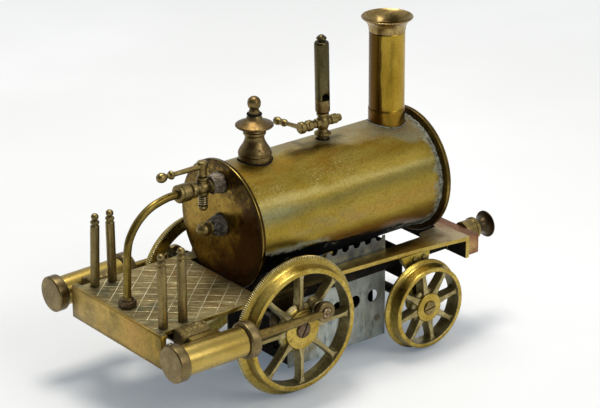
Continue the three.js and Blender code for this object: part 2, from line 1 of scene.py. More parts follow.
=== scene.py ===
"""Aged brass model steam locomotive with two oscillating cylinders, on a pale studio floor."""
import json
import math

import bmesh
import bpy
from mathutils import Matrix, Vector, geometry, noise

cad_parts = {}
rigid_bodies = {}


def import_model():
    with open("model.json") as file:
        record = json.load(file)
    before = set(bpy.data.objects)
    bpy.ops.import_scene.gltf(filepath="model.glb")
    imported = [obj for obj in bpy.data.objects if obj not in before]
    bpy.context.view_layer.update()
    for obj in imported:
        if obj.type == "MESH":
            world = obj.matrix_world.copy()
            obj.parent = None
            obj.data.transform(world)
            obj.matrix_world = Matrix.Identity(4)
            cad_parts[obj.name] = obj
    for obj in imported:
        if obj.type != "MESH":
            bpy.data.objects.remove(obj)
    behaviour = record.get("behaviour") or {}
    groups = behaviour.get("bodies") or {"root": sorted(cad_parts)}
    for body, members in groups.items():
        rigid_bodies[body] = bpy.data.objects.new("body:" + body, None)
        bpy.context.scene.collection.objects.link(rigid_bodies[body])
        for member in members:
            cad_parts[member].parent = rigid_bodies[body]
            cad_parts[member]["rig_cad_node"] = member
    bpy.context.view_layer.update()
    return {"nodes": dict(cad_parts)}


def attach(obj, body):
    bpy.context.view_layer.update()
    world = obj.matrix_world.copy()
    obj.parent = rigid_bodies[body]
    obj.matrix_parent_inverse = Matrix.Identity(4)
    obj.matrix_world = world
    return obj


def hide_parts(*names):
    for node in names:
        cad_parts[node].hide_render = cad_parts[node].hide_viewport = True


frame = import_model()
MM = 0.001
TAU = 2 * math.pi
COLL = bpy.context.scene.collection

# ------------------------------------------------------------------ dimensions (mm)
CENTRE_X = 26.43  # from the driving axle, where x is 0 in the numbers below, to the frame's origin
DECK_TOP = 51.63
BOILER_Z, BOILER_R = 78.05, 28.59
CHIMNEY_X, VALVE_X, WHISTLE_X, STOPCOCK_X = 88.0, 6.25, 47.56, -24.5
COCK_Z, STOP_Z, PLUG_Z = 115.0, 99.7, 78.1
DRIVE, FRONT = (0.0, 34.79), (78.81, 23.01)
THROW, CRANK_DEG = 12.53, 40.25
CYL_Y, PIVOT, ROD_LENGTH = 49.2, (-57.0, 43.5), 57.4


# ------------------------------------------------------------------ shader graphs
def C(r, g, b):
    """sRGB 0-255 to a linear colour."""
    f = lambda v: (v / 255 / 12.92) if v <= 10 else ((v / 255 + 0.055) / 1.055) ** 2.4
    return (f(r), f(g), f(b), 1.0)


C0 = C


class Graph:
    def __init__(self, name):
        self.m = bpy.data.materials.new(name)
        self.m.use_nodes = True
        self.t = self.m.node_tree
        self.t.nodes.clear()
        tc = self.node("ShaderNodeTexCoord")
        self.p = self.node("ShaderNodeVectorMath", {"operation": "MULTIPLY_ADD"}, {0: tc.outputs["Object"], 1: (1000.0, 1000.0, 1000.0), 2: (CENTRE_X, 0.0, 0.0)}).outputs[0]
        sep = self.node("ShaderNodeSeparateXYZ", None, {0: self.p})
        self.x, self.y, self.z = sep.outputs
        geo = self.node("ShaderNodeNewGeometry")
        self.normal = geo.outputs["Normal"]
        self.nz = self.node("ShaderNodeSeparateXYZ", None, {0: self.normal}).outputs[2]

    def node(self, kind, attrs=None, ins=None):
        n = self.t.nodes.new(kind)
        for k, v in (attrs or {}).items():
            setattr(n, k, v)
        for k, v in (ins or {}).items():
            self.put(n.inputs[k], v)
        return n

    def put(self, sock, v):
        if isinstance(v, bpy.types.NodeSocket):
            self.t.links.new(v, sock)
        else:
            sock.default_value = v

    def noise(self, size, detail=4.0, rough=0.55, seed=0.0, stretch=(1, 1, 1), distort=0.0):
        k = 1.0 / size
        m = self.node("ShaderNodeMapping", None, {0: self.p, "Scale": tuple(k * s for s in stretch), "Location": (seed * 1.7, seed * -2.3, seed * 3.1)})
        n = self.node("ShaderNodeTexNoise", None, {0: m.outputs[0], "Scale": 1.0, "Detail": detail, "Roughness": rough, "Distortion": distort})
        return n.outputs["Fac"]

    def stripes(self, deg, pitch, length, seed=0.0):
        """Noise drawn out along a direction on the XY plane."""
        a = math.radians(deg)
        along = self.add(self.mul(self.x, math.cos(a)), self.mul(self.y, math.sin(a)))
        across = self.add(self.mul(self.x, -math.sin(a)), self.mul(self.y, math.cos(a)))
        v = self.node("ShaderNodeCombineXYZ", None, {0: self.mul(along, 1.0 / length), 1: self.mul(across, 1.0 / pitch), 2: float(seed)}).outputs[0]
        return self.node("ShaderNodeTexNoise", None, {0: v, "Scale": 1.0, "Detail": 4.0, "Roughness": 0.6}).outputs["Fac"]

    def cells(self, size, seed=0.0):
        m = self.node("ShaderNodeMapping", None, {0: self.p, "Scale": (1 / size,) * 3, "Location": (seed, seed * 2, -seed)})
        return self.node("ShaderNodeTexVoronoi", {"feature": "F1"}, {0: m.outputs[0], "Scale": 1.0}).outputs["Distance"]

    def rng(self, v, a, b, lo=0.0, hi=1.0, smooth=True):
        n = self.node("ShaderNodeMapRange", {"interpolation_type": "SMOOTHSTEP" if smooth else "LINEAR", "clamp": True})
        for k, w in zip((0, 1, 2, 3, 4), (v, a, b, lo, hi)):
            self.put(n.inputs[k], w)
        return n.outputs[0]

    def op(self, kind, a, b=0.0, c=0.0):
        n = self.node("ShaderNodeMath", {"operation": kind})
        for k, w in enumerate((a, b, c)):
            self.put(n.inputs[k], w)
        return n.outputs[0]

    def mul(self, *v):
        out = v[0]
        for w in v[1:]:
            out = self.op("MULTIPLY", out, w)
        return out

    def add(self, *v):
        out = v[0]
        for w in v[1:]:
            out = self.op("ADD", out, w)
        return out

    def inv(self, v):
        return self.op("SUBTRACT", 1.0, v)

    def band(self, v, at, half):
        """1 at `at`, falling to 0 half a width away."""
        return self.rng(self.op("ABSOLUTE", self.op("SUBTRACT", v, at)), half, 0.0)

    def mix(self, f, a, b, mode="MIX"):
        n = self.node("ShaderNodeMix", {"data_type": "RGBA", "blend_type": mode, "clamp_factor": True})
        self.put(n.inputs[0], f)
        self.put(n.inputs[6], a)
        self.put(n.inputs[7], b)
        return n.outputs[2]

    def mixf(self, f, a, b):
        n = self.node("ShaderNodeMix", {"data_type": "FLOAT", "clamp_factor": True})
        self.put(n.inputs[0], f)
        self.put(n.inputs[2], a)
        self.put(n.inputs[3], b)
        return n.outputs[0]

    def edges(self, radius):
        """How much the surface turns within `radius` mm."""
        bev = self.node("ShaderNodeBevel", {"samples": 4}, {"Radius": radius * MM})
        dot = self.node("ShaderNodeVectorMath", {"operation": "DOT_PRODUCT"}, {0: bev.outputs[0], 1: self.normal}).outputs["Value"]
        return self.inv(dot)

    def ao(self, dist=4.0):
        return self.node("ShaderNodeAmbientOcclusion", {"samples": 5}, {"Distance": dist * MM}).outputs["AO"]

    def finish(self, col, rough, metal, bump=None, strength=0.25, dist=0.15, spec=0.3):
        b = self.node("ShaderNodeBsdfPrincipled", None, {"Base Color": col, "Roughness": rough, "Metallic": metal, "Specular IOR Level": spec})
        if bump is not None:
            n = self.node("ShaderNodeBump", None, {"Strength": strength, "Distance": dist * MM, "Height": bump})
            self.put(b.inputs["Normal"], n.outputs[0])
        out = self.node("ShaderNodeOutputMaterial")
        self.t.links.new(b.outputs[0], out.inputs[0])
        return self.m


def metal(name, mid, light, dark, stain=0.45, rough=(0.28, 0.46), patch=16.0, seed=0.0, stretch=(1, 1, 1), brush=(1, 1, 1), wear=0.6, edge=None, grime=0.7,
          grime_col=(26, 20, 13), speck=0.4, dust=0.0, metallic=1.0, bump=0.2, extra=None, ao_dist=4.0, edge_r=0.35,
          gain=(1.0, 1.0, 1.0), mottle=(1.5, 0.4), spec=0.2):
    """Aged metal: two tones in patches, dark stains, specks, rubbed edges, and grime with painted shade in the corners.
    """
    g = Graph(name)

    def C(*c):
        q = C0(*c)
        return (q[0] * gain[0], q[1] * gain[1], q[2] * gain[2], 1.0)
    big = g.noise(patch, 3.0, 0.55, seed, stretch)
    mid_n = g.noise(patch * 0.32, 5.0, 0.6, seed + 3, stretch)
    fine = g.noise(0.55, 4.0, 0.65, seed + 5)
    scr = g.noise(0.5, 3.0, 0.6, seed + 7, brush)
    col = g.mix(g.rng(big, 0.36, 0.64), C(*mid), C(*light))
    st = g.rng(g.add(g.mul(mid_n, 0.65), g.mul(big, 0.35)), 0.6 - 0.16 * stain, 0.74 - 0.08 * stain, 0.0, stain)
    col = g.mix(st, col, C(*dark))
    spots = g.mul(g.rng(g.noise(1.6, 3.0, 0.7, seed + 9), 0.6, 0.7), speck)
    col = g.mix(spots, col, C(*dark))
    col = g.mix(g.rng(scr, 0.3, 0.75, 0.0, 0.22), col, C(*light))
    ao = g.ao(ao_dist)
    # grime with painted shade: the ambient-occlusion mask darkens recesses and surfaces under or between parts
    grime_and_shade_mask = g.mul(g.rng(g.add(ao, g.mul(g.op("SUBTRACT", mid_n, 0.5), 0.5)), 0.85, 0.35), grime)
    turn = g.edges(edge_r)
    rub = g.mul(g.rng(turn, 0.02, 0.22), g.rng(ao, 0.55, 0.85), g.rng(mid_n, 0.3, 0.55, 0.35, 1.0), wear)
    col = g.mix(rub, col, C(*(edge or light)))
    col = g.mix(grime_and_shade_mask, col, C(*grime_col))
    r = g.rng(g.add(g.mul(mid_n, 0.6), g.mul(fine, 0.4)), 0.35, 0.65, rough[0], rough[1], False)
    r = g.add(r, g.mul(st, 0.1), g.mul(grime_and_shade_mask, 0.25), g.mul(rub, -0.06))
    met = g.op("SUBTRACT", metallic, g.mul(grime_and_shade_mask, 0.75))
    if dust:
        d = g.mul(g.rng(g.nz, 0.55, 0.98), g.rng(g.add(mid_n, g.mul(fine, 0.4)), 0.5, 0.9), dust)
        col = g.mix(d, col, C(150, 143, 128))
        r = g.add(r, g.mul(d, 0.3))
        met = g.op("SUBTRACT", met, g.mul(d, 0.6))
    if extra:
        col, r, met = extra(g, col, r, met, big, mid_n, fine)
    blot = g.noise(mottle[0], 5, 0.7, seed + 11)
    col = g.mix(g.rng(blot, 0.42, 0.7, 0.0, mottle[1]), col, (0.30, 0.27, 0.20, 1.0), "MULTIPLY")
    col = g.mix(g.rng(blot, 0.44, 0.26, 0.0, mottle[1] * 0.45), col, (1.0, 0.98, 0.90, 1.0), "SOFT_LIGHT")
    col = g.mix(g.rng(g.noise(0.7, 3, 0.7, seed + 13, brush), 0.5, 0.72, 0.0, mottle[1] * 0.6), col, (0.36, 0.32, 0.25, 1.0), "MULTIPLY")
    h = g.add(g.mul(fine, 0.5), g.mul(scr, 0.3), g.mul(mid_n, 0.6))
    return g.finish(col, r, met, h, bump, 0.12, spec)


def boiler_extra(g, col, r, met, big, mid_n, fine):
    ay = g.op("ABSOLUTE", g.y)
    phi = g.mul(g.op("ARCTAN2", g.op("SUBTRACT", g.z, BOILER_Z), g.mul(g.y, -1.0)), 57.2958)  # 0 faces right, 90 is the crown
    low = g.mul(g.op("ARCTAN2", g.op("SUBTRACT", g.z, BOILER_Z), ay), 57.2958)
    wob = g.op("SUBTRACT", g.noise(14, 4, 0.6, 21, (0.35, 1, 1)), 0.5)
    wob2 = g.op("SUBTRACT", g.noise(4.5, 4, 0.65, 23, (0.5, 1, 1)), 0.5)
    side = g.rng(phi, 118, 96)  # the far flank stays plain
    # painted highlight: a long pale streak along the near flank, with a greyer band below it
    line = g.add(34.0, g.mul(g.x, -0.09))
    highlight_streak = g.mul(g.band(g.add(phi, g.mul(wob, 12), g.mul(wob2, 6)), line, 7.0), g.rng(g.noise(16, 3, 0.5, 25, (0.4, 1, 1)), 0.3, 0.6, 0.35, 1.0), 0.40)
    col = g.mix(highlight_streak, col, C(206, 194, 130))
    grey = g.mul(g.band(g.add(phi, g.mul(wob, 14)), 20.0, 9.0), 0.5)
    col = g.mix(grey, col, C0(112, 108, 66))
    # painted reflection: pale greenish grey on the near flank towards the rear end
    pale = g.mul(g.rng(g.add(g.x, g.mul(wob, 24)), 22.0, 0.0), g.band(phi, 22.0, 16.0), 0.6)
    col = g.mix(pale, col, C0(148, 148, 108))
    # tan field below the streaks, with a sharp golden edge
    tan = g.mul(g.band(g.add(low, g.mul(wob, 18)), 0.0, 13.0), g.rng(g.x, 20, 44), 0.6)
    col = g.mix(tan, col, C0(158, 130, 66))
    putty = g.mul(g.band(g.add(low, g.mul(wob, 16)), 2.0, 12.0), g.rng(g.x, 2, 16), g.rng(g.x, 62, 40), g.rng(mid_n, 0.36, 0.56), 0.6)
    col = g.mix(putty, col, C0(146, 132, 88))
    amber = g.mul(g.rng(g.noise(7, 4, 0.6, 27, (0.5, 1, 1)), 0.5, 0.64), g.band(low, -2.0, 12.0), g.rng(g.x, 30, 60), 0.5)
    col = g.mix(amber, col, C0(176, 132, 50))
    # olive to amber upper flank
    up = g.rng(g.add(phi, g.mul(wob, 20)), 38, 50)
    rich = g.mul(up, g.rng(mid_n, 0.34, 0.62), 0.6, side)
    col = g.mix(rich, col, C0(140, 102, 22))
    umber = g.mul(g.band(g.add(phi, g.mul(wob, 26), g.mul(wob2, 10)), 74.0, 9.0), g.rng(g.x, 16, 26), g.rng(g.x, 62, 44), 0.75, side)
    col = g.mix(umber, col, C0(66, 52, 12))
    # darker lower flank behind the wheel, brown further forward: soot and staining, with painted shade and a painted
    # reflection of the dark frame
    edge = g.add(-16.0, g.rng(g.x, -10, 30, 0.0, -7.0, False), g.rng(g.x, 28, 62, 0.0, -13.0, False), g.rng(g.x, 78, 98, 0.0, -10.0, False))
    under = g.op("SUBTRACT", g.add(low, g.mul(wob2, 9), g.mul(wob, 5)), edge)
    brown = g.mul(g.rng(g.add(under, g.mul(wob, 12)), 15.0, 8.0), g.rng(g.add(g.x, g.mul(wob, 30)), 22, 40), 0.96)
    col = g.mix(brown, col, C0(136, 98, 34))
    core = g.mul(g.rng(under, 8.0, 1.0), g.rng(g.x, 20, 40), g.rng(mid_n, 0.34, 0.54), 0.8)
    col = g.mix(core, col, C0(52, 32, 10))
    # soot black, with painted shade where the barrel sits low over the frame
    soot = g.rng(under, 1.0, -2.5)
    col = g.mix(soot, col, C0(8, 7, 6))
    crust = g.mul(g.band(g.add(under, g.mul(wob2, 10)), 1.0, 5.0), g.rng(g.noise(5, 4, 0.65, 29, (0.6, 1, 1)), 0.4, 0.52), g.rng(g.x, 34, 22), 0.95)
    flake = g.mul(g.rng(g.noise(2.2, 4, 0.7, 35), 0.6, 0.68), soot, g.rng(g.noise(11, 3, 0.5, 37), 0.45, 0.6), 0.8)
    front = g.mul(g.band(g.add(low, g.mul(wob2, 20)), -44.0, 9.0), g.rng(g.add(g.x, g.mul(wob, 16)), 70, 84), g.rng(mid_n, 0.4, 0.54), 0.8)
    crust = g.op("MAXIMUM", g.op("MAXIMUM", crust, flake), front)
    crust = g.op("MAXIMUM", crust, g.mul(g.rng(g.add(g.x, g.mul(wob2, 18)), 95.0, 98.4), g.rng(mid_n, 0.38, 0.56), 0.75))
    col = g.mix(crust, col, C0(152, 154, 134))
    # dusty crown, wider towards the chimney
    crown = g.add(82.0, g.rng(g.x, 36, 60, 0.0, -15.0), g.rng(g.x, 74, 92, 0.0, -18.0))
    dust = g.mul(g.rng(g.op("SUBTRACT", g.add(phi, g.mul(wob, 12), g.mul(wob2, 8)), crown), -4, 6), g.rng(phi, 178, 150), g.rng(g.x, -6, 14, 0.25, 1.0), g.rng(mid_n, 0.62, 0.4, 0.62, 1.0), 0.95)
    dust = g.mul(dust, g.rng(g.add(mid_n, g.mul(fine, 0.5)), 0.45, 0.85, 0.5, 0.86))
    col = g.mix(dust, col, C0(142, 138, 112))
    flecks = g.mul(g.rng(g.noise(0.75, 3, 0.7, 31), 0.57, 0.65), g.rng(g.noise(18, 3, 0.5, 33), 0.4, 0.58), g.band(phi, 44, 30), g.rng(g.x, 72, 40), 0.8)
    col = g.mix(flecks, col, C0(206, 196, 146))
    r = g.add(r, g.mul(dust, 0.3), g.mul(soot, 0.5), g.mul(crust, 0.35), g.mul(flecks, 0.3), g.mul(brown, 0.02))
    met = g.op("SUBTRACT", met, g.add(g.mul(dust, 0.6), g.mul(crust, 0.8), g.mul(flecks, 0.5), g.mul(pale, 0.3), g.mul(brown, 0.3), g.mul(core, 0.35)))
    return col, g.op("MINIMUM", r, 0.95), g.op("MAXIMUM", met, 0.0)


def plate_extra(g, col, r, met, big, mid_n, fine):
    wob = g.op("SUBTRACT", g.noise(15, 4, 0.6, 41), 0.5)
    wob2 = g.op("SUBTRACT", g.noise(4.0, 5, 0.7, 43), 0.5)
    # painted reflection: the plate darkens towards its lower near corner where it mirrors the dark deck, with a reddish
    # tint low down and golden mottling on the lighter upper side
    lean = g.add(g.mul(g.y, -0.72), g.mul(g.op("SUBTRACT", 78.0, g.z), 0.62), g.mul(wob, 44), g.mul(wob2, 22))
    dark = g.rng(lean, -1.0, 13.0, 0.0, 0.95)
    col = g.mix(dark, col, C0(70, 39, 6))
    reddish_painted_reflection = g.mul(g.rng(g.noise(5.0, 3, 0.6, 44), 0.52, 0.66), g.rng(g.z, 78, 62), dark, 0.5)
    col = g.mix(reddish_painted_reflection, col, C0(112, 62, 16))
    rim = g.op("SQRT", g.add(g.mul(g.y, g.y), g.op("POWER", g.op("SUBTRACT", g.z, BOILER_Z), 2.0)))
    border = g.mul(g.rng(g.add(rim, g.mul(wob2, 6)), 27.0, 31.0), 0.75)
    col = g.mix(border, col, C0(62, 46, 18))
    gold = g.mul(g.rng(wob2, 0.04, 0.16), g.rng(lean, 12.0, 0.0), 0.6)
    col = g.mix(gold, col, C0(150, 112, 40))
    top = g.mul(g.rng(g.add(g.z, g.mul(wob2, 14)), 88, 98), 0.8)
    col = g.mix(g.mul(top, g.rng(mid_n, 0.36, 0.56)), col, C0(52, 40, 16))
    black = g.mul(g.rng(g.noise(2.1, 4, 0.7, 47), 0.58, 0.64), g.op("MAXIMUM", g.rng(g.noise(12, 2, 0.5, 49), 0.46, 0.62), top), 0.9)
    col = g.mix(black, col, C0(16, 12, 6))
    edge = g.mul(g.rng(rim, 31.75, 32.0), g.rng(g.x, -13.2, -14.0), 0.6)
    col = g.mix(edge, col, C0(168, 146, 76))
    return col, g.add(r, g.mul(black, 0.2), g.mul(dark, -0.08)), met


def front_extra(g, col, r, met, big, mid_n, fine):
    """Turning marks round the centre, browned towards the bottom, dust and solder stain at the rim."""
    dz = g.op("SUBTRACT", g.z, BOILER_Z)
    rr = g.op("SQRT", g.add(g.mul(g.y, g.y), g.mul(dz, dz)))
    v = g.node("ShaderNodeCombineXYZ", None, {0: g.mul(rr, 1.8), 1: g.mul(g.op("ARCTAN2", dz, g.y), 0.7), 2: 4.0}).outputs[0]
    rings = g.node("ShaderNodeTexNoise", None, {0: v, "Scale": 1.0, "Detail": 3.0, "Roughness": 0.6}).outputs["Fac"]
    wob = g.op("SUBTRACT", g.noise(13, 4, 0.6, 111), 0.5)
    col = g.mix(g.rng(rings, 0.46, 0.66, 0.0, 0.4), col, C0(92, 70, 28))
    col = g.mix(g.rng(rings, 0.46, 0.3, 0.0, 0.35), col, C0(172, 146, 82))
    low = g.mul(g.rng(g.add(g.z, g.mul(wob, 30)), 74, 50), 0.6)
    col = g.mix(low, col, C0(84, 58, 24))
    olive = g.mul(g.rng(wob, 0.04, 0.2), 0.4)
    col = g.mix(olive, col, C0(120, 112, 62))
    stain = g.mul(g.rng(g.add(rr, g.mul(wob, 8)), 27.5, 31.0), g.rng(mid_n, 0.36, 0.58), 0.6)
    col = g.mix(stain, col, C0(66, 52, 26))
    return col, g.add(r, g.mul(low, 0.08)), met


def chimney_extra(g, col, r, met, big, mid_n, fine):
    """Painted shade: brown on the side turned away from the light, with a hard dark line at its border."""
    dx, dy = g.op("SUBTRACT", g.x, CHIMNEY_X), g.y
    side = g.add(g.mul(dx, 0.783 / 8.86), g.mul(dy, -0.622 / 8.86), g.mul(g.op("SUBTRACT", g.noise(9, 4, 0.6, 101, (1, 1, 0.4)), 0.5), 0.5))
    # painted shade on the side away from the light, and a painted dark line along its edge
    brown = g.rng(side, -0.3, -0.48, 0.0, 0.9)
    col = g.mix(brown, col, C0(74, 46, 8))
    line = g.mul(g.band(side, -0.36, 0.08), 0.75)
    col = g.mix(line, col, C0(34, 22, 6))
    foot = g.mul(g.rng(g.add(g.z, g.mul(g.op("SUBTRACT", mid_n, 0.5), 7)), 115.5, 112.0), 0.55)
    col = g.mix(foot, col, C0(110, 74, 22))
    green = g.mul(g.band(side, 0.15, 0.35), g.rng(g.noise(6, 4, 0.6, 103, (1, 1, 0.3)), 0.46, 0.62), 0.5)
    col = g.mix(green, col, C0(92, 80, 20))
    return col, r, met


def rail_extra(g, col, r, met, big, mid_n, fine):
    """Side rails: dusty grey towards the saddle, painted shade where they pass behind the driving wheel."""
    ay = g.op("ABSOLUTE", g.y)
    wob = g.op("SUBTRACT", g.noise(9, 4, 0.6, 61), 0.5)
    grey = g.mul(g.rng(g.add(g.x, g.mul(wob, 22)), 82, 97), g.rng(g.nz, 0.6, 0.9), 0.75)
    col = g.mix(grey, col, C0(176, 162, 136))
    pink = g.mul(g.rng(g.add(g.x, g.mul(wob, 14)), 99, 107), g.rng(g.nz, 0.6, 0.9), g.rng(ay, 36, 22), 0.6)
    col = g.mix(pink, col, C(132, 92, 74))
    brown = g.mul(g.rng(g.add(mid_n, wob), 0.5, 0.72), g.rng(g.nz, 0.5, 0.9), g.rng(g.x, -5, 10), 0.55)
    col = g.mix(brown, col, C0(136, 98, 40))
    # painted shade: the rails darken along the stretch behind the driving wheel
    shade_behind_wheel = g.mul(g.rng(g.add(g.x, g.mul(wob, 20)), -22, -8), g.rng(g.add(g.x, g.mul(wob, 20)), 38, 26), 0.88)
    col = g.mix(shade_behind_wheel, col, C0(46, 38, 22))
    r = g.add(r, g.mul(shade_behind_wheel, 0.2))
    met = g.op("SUBTRACT", met, g.mul(shade_behind_wheel, 0.3))
    return col, g.add(r, g.mul(grey, 0.25)), g.op("SUBTRACT", met, g.mul(grey, 0.45))


def beam_extra(g, col, r, met, big, mid_n, fine):
    """Rear beam: darker towards both ends and round the lower edge."""
    ay = g.op("ABSOLUTE", g.y)
    wob = g.op("SUBTRACT", g.noise(7, 4, 0.6, 71), 0.5)
    olive = g.mul(g.rng(g.noise(16, 3, 0.55, 73), 0.42, 0.6), 0.55)
    col = g.mix(olive, col, C0(124, 110, 56))
    warm = g.mul(g.band(g.add(g.y, g.mul(wob, 16)), -16.0, 13.0), g.rng(g.z, 36, 42), 0.34)
    col = g.mix(warm, col, C0(190, 144, 90))
    ends = g.rng(g.add(ay, g.mul(wob, 18)), 29, 37, 0.0, 0.6)
    col = g.mix(ends, col, C0(98, 84, 44))
    bottom = g.mul(g.rng(g.add(g.z, g.mul(wob, 3)), 37.6, 35.4), 0.6)
    col = g.mix(bottom, col, C0(66, 54, 28))
    return col, r, met


def deck_extra(g, col, r, met, big, mid_n, fine):
    """Footplate: grey-olive dirt in fine machining strips."""
    strips = g.stripes(-42.0, 0.75, 9.0, 3)
    wide = g.stripes(-42.0, 2.6, 18.0, 7)
    col = g.mix(g.rng(strips, 0.46, 0.6, 0.0, 0.55), col, C0(92, 72, 34))
    col = g.mix(g.rng(strips, 0.46, 0.34, 0.0, 0.6), col, C0(176, 160, 118))
    col = g.mix(g.rng(wide, 0.5, 0.66, 0.0, 0.5), col, C0(104, 78, 36))
    green = g.mul(g.rng(g.noise(9, 4, 0.6, 83), 0.46, 0.62), g.rng(g.x, -38, -62), 0.7)
    col = g.mix(green, col, C0(84, 86, 62))
    rust = g.mul(g.rng(g.noise(7, 4, 0.65, 84), 0.5, 0.64), g.rng(g.x, -46, -34), 0.55)
    col = g.mix(rust, col, C0(120, 82, 38))
    pale = g.mul(g.rng(g.op("ABSOLUTE", g.y), 26, 32), g.rng(mid_n, 0.42, 0.6), 0.5)
    col = g.mix(pale, col, C0(158, 146, 106))
    return col, g.add(r, 0.05), met


def beam_red_extra(g, col, r, met, big, mid_n, fine):
    """Buffer beam: bright brass worn through on the ends."""
    ay = g.op("ABSOLUTE", g.y)
    wob = g.op("SUBTRACT", g.noise(3.2, 4, 0.65, 91), 0.5)
    worn = g.mul(g.rng(ay, 39.2, 39.4), g.band(g.add(g.z, g.mul(wob, 6)), 46.2, 4.2), g.rng(g.add(g.x, g.mul(wob, 4)), 115.5, 112.0))
    col = g.mix(g.mul(worn, 0.7), col, C(206, 170, 110))
    return col, r, met


BR = (176, 144, 66)
M = {}
M["boiler"] = metal("boiler_brass", (158, 134, 58), (184, 160, 84), (112, 84, 34), 0.4, (0.27, 0.42), 22, 1, (0.5, 1, 1), (0.08, 1, 1), 0.5, (226, 204, 132), 0.5,
                    speck=0.3, bump=0.12, extra=boiler_extra, gain=(0.84, 0.83, 0.57), mottle=(1.1, 0.38))
M["plate"] = metal("end_plate_brass", (142, 112, 42), (168, 138, 62), (92, 62, 24), 0.5, (0.2, 0.36), 10, 2, wear=0.8, edge=(226, 200, 128), speck=0.5, bump=0.14, grime=0.8, extra=plate_extra, gain=(0.88, 0.86, 0.60), mottle=(1.4, 0.3))
M["front_plate"] = metal("front_plate_brass", (132, 106, 48), (150, 124, 62), (98, 74, 34), 0.3, (0.28, 0.45), 18, 4, wear=0.9, edge=(222, 196, 122), grime=0.85, gain=(0.70, 0.72, 0.60), extra=front_extra)
M["chimney"] = metal("chimney_brass", (160, 132, 56), (190, 162, 84), (104, 72, 30), 0.3, (0.24, 0.38), 16, 6, (1, 1, 0.4), (1, 1, 0.06), 0.6, (214, 188, 112), 0.7, speck=0.25, bump=0.1, extra=chimney_extra, gain=(0.92, 0.86, 0.50), mottle=(1.6, 0.24))
M["bronze"] = metal("turned_bronze", (118, 92, 60), (162, 140, 104), (50, 32, 16), 0.75, (0.3, 0.44), 8, 8, wear=0.7, edge=(196, 168, 112), grime=0.85, speck=0.4, bump=0.16, gain=(0.74, 0.74, 0.56))
M["bronze_dark"] = metal("dark_bronze", (106, 88, 54), (142, 122, 82), (48, 36, 20), 0.6, (0.2, 0.38), 8, 10, wear=0.7, edge=(186, 160, 112), grime=0.9, speck=0.45, bump=0.16, gain=(0.62, 0.66, 0.55))
M["fittings"] = metal("fittings_bronze", (124, 106, 66), (156, 134, 88), (62, 48, 32), 0.55, (0.3, 0.46), 5, 12, wear=0.8, edge=(202, 180, 124), grime=0.9, speck=0.5, bump=0.2, ao_dist=3.0, gain=(0.95, 0.98, 0.88))
M["whistle"] = metal("whistle_bronze", (98, 86, 62), (134, 120, 88), (52, 44, 34), 0.5, (0.26, 0.4), 9, 14, (1, 1, 0.25), (1, 1, 0.08), 0.8, (190, 172, 124), 0.85, speck=0.35, bump=0.14, gain=(0.60, 0.62, 0.50))
M["wheel"] = metal("wheel_brass", (172, 144, 68), (202, 176, 98), (98, 74, 30), 0.6, (0.2, 0.38), 9, 16, wear=1.0, edge=(244, 228, 166), grime=0.95, grime_col=(40, 32, 16), speck=0.45, bump=0.2, ao_dist=6.0, edge_r=0.5, gain=(0.90, 0.90, 0.72))
M["spoke"] = metal("spoke_brass", (120, 106, 66), (152, 138, 96), (56, 48, 34), 0.6, (0.32, 0.5), 5, 17, wear=1.0, edge=(214, 198, 128), grime=0.95, grime_col=(26, 22, 15), speck=0.6, metallic=0.95, bump=0.3, ao_dist=6.0, edge_r=0.6, gain=(1.50, 1.55, 1.60))
M["cyl"] = metal("cylinder_brass", (176, 148, 72), (196, 170, 94), (122, 100, 46), 0.45, (0.24, 0.36), 14, 18, (0.4, 1, 1), (0.06, 1, 1), 0.7, (232, 212, 146), 0.8, speck=0.15, bump=0.05, gain=(0.92, 0.92, 0.90), mottle=(1.6, 0.2))
M["cap"] = metal("cap_bronze", (122, 102, 74), (148, 126, 94), (78, 60, 42), 0.5, (0.3, 0.44), 9, 20, wear=0.95, edge=(226, 204, 158), grime=0.8, speck=0.4, bump=0.15, edge_r=0.45, gain=(0.92, 0.98, 0.80))
M["post"] = metal("post_bronze", (116, 102, 68), (142, 124, 80), (72, 60, 40), 0.5, (0.34, 0.5), 9, 22, (1, 1, 0.3), (1, 1, 0.1), 0.8, (198, 178, 120), 0.8, speck=0.4, bump=0.2, gain=(1.05, 1.05, 1.00))
M["pipe"] = metal("pipe_brass", (138, 116, 56), (172, 148, 78), (82, 62, 32), 0.4, (0.25, 0.4), 10, 24, wear=0.5, edge=(210, 188, 120), grime=0.7, speck=0.35, bump=0.14, gain=(0.60, 0.60, 0.52))
M["rail"] = metal("frame_brass", (158, 136, 72), (186, 164, 96), (104, 82, 42), 0.45, (0.26, 0.42), 12, 26, (0.5, 1, 1), (0.1, 1, 1), 0.9, (214, 196, 128), 0.85, speck=0.35, bump=0.15, extra=rail_extra, gain=(1.18, 1.16, 0.96))
M["beam"] = metal("rear_beam_brass", (174, 144, 70), (190, 162, 88), (126, 96, 46), 0.35, (0.3, 0.46), 13, 28, (1, 0.5, 1), (1, 0.1, 1), 0.8, (214, 192, 124), 0.8, speck=0.25, bump=0.12, extra=beam_extra, gain=(0.98, 0.95, 0.84))
M["deck"] = metal("footplate_dirty", (138, 124, 84), (158, 146, 108), (92, 80, 50), 0.55, (0.46, 0.66), 10, 30, (1, 1, 1), (1, 0.2, 1), 0.7, (190, 178, 136), 0.75, speck=0.6, metallic=0.75, bump=0.4, extra=deck_extra, gain=(1.00, 0.98, 0.84))
M["scribe"] = metal("scribed_line", (214, 204, 164), (236, 228, 196), (160, 146, 104), 0.35, (0.4, 0.55), 6, 32, wear=0.0, grime=0.0, speck=0.3, metallic=0.7, bump=0.15)
M["scribe_dull"] = metal("scribed_line_dull", (176, 164, 122), (204, 192, 152), (124, 110, 72), 0.55, (0.42, 0.6), 5, 34, wear=0.0, grime=0.0, speck=0.5, metallic=0.7, bump=0.2, gain=(1.00, 1.00, 0.95))
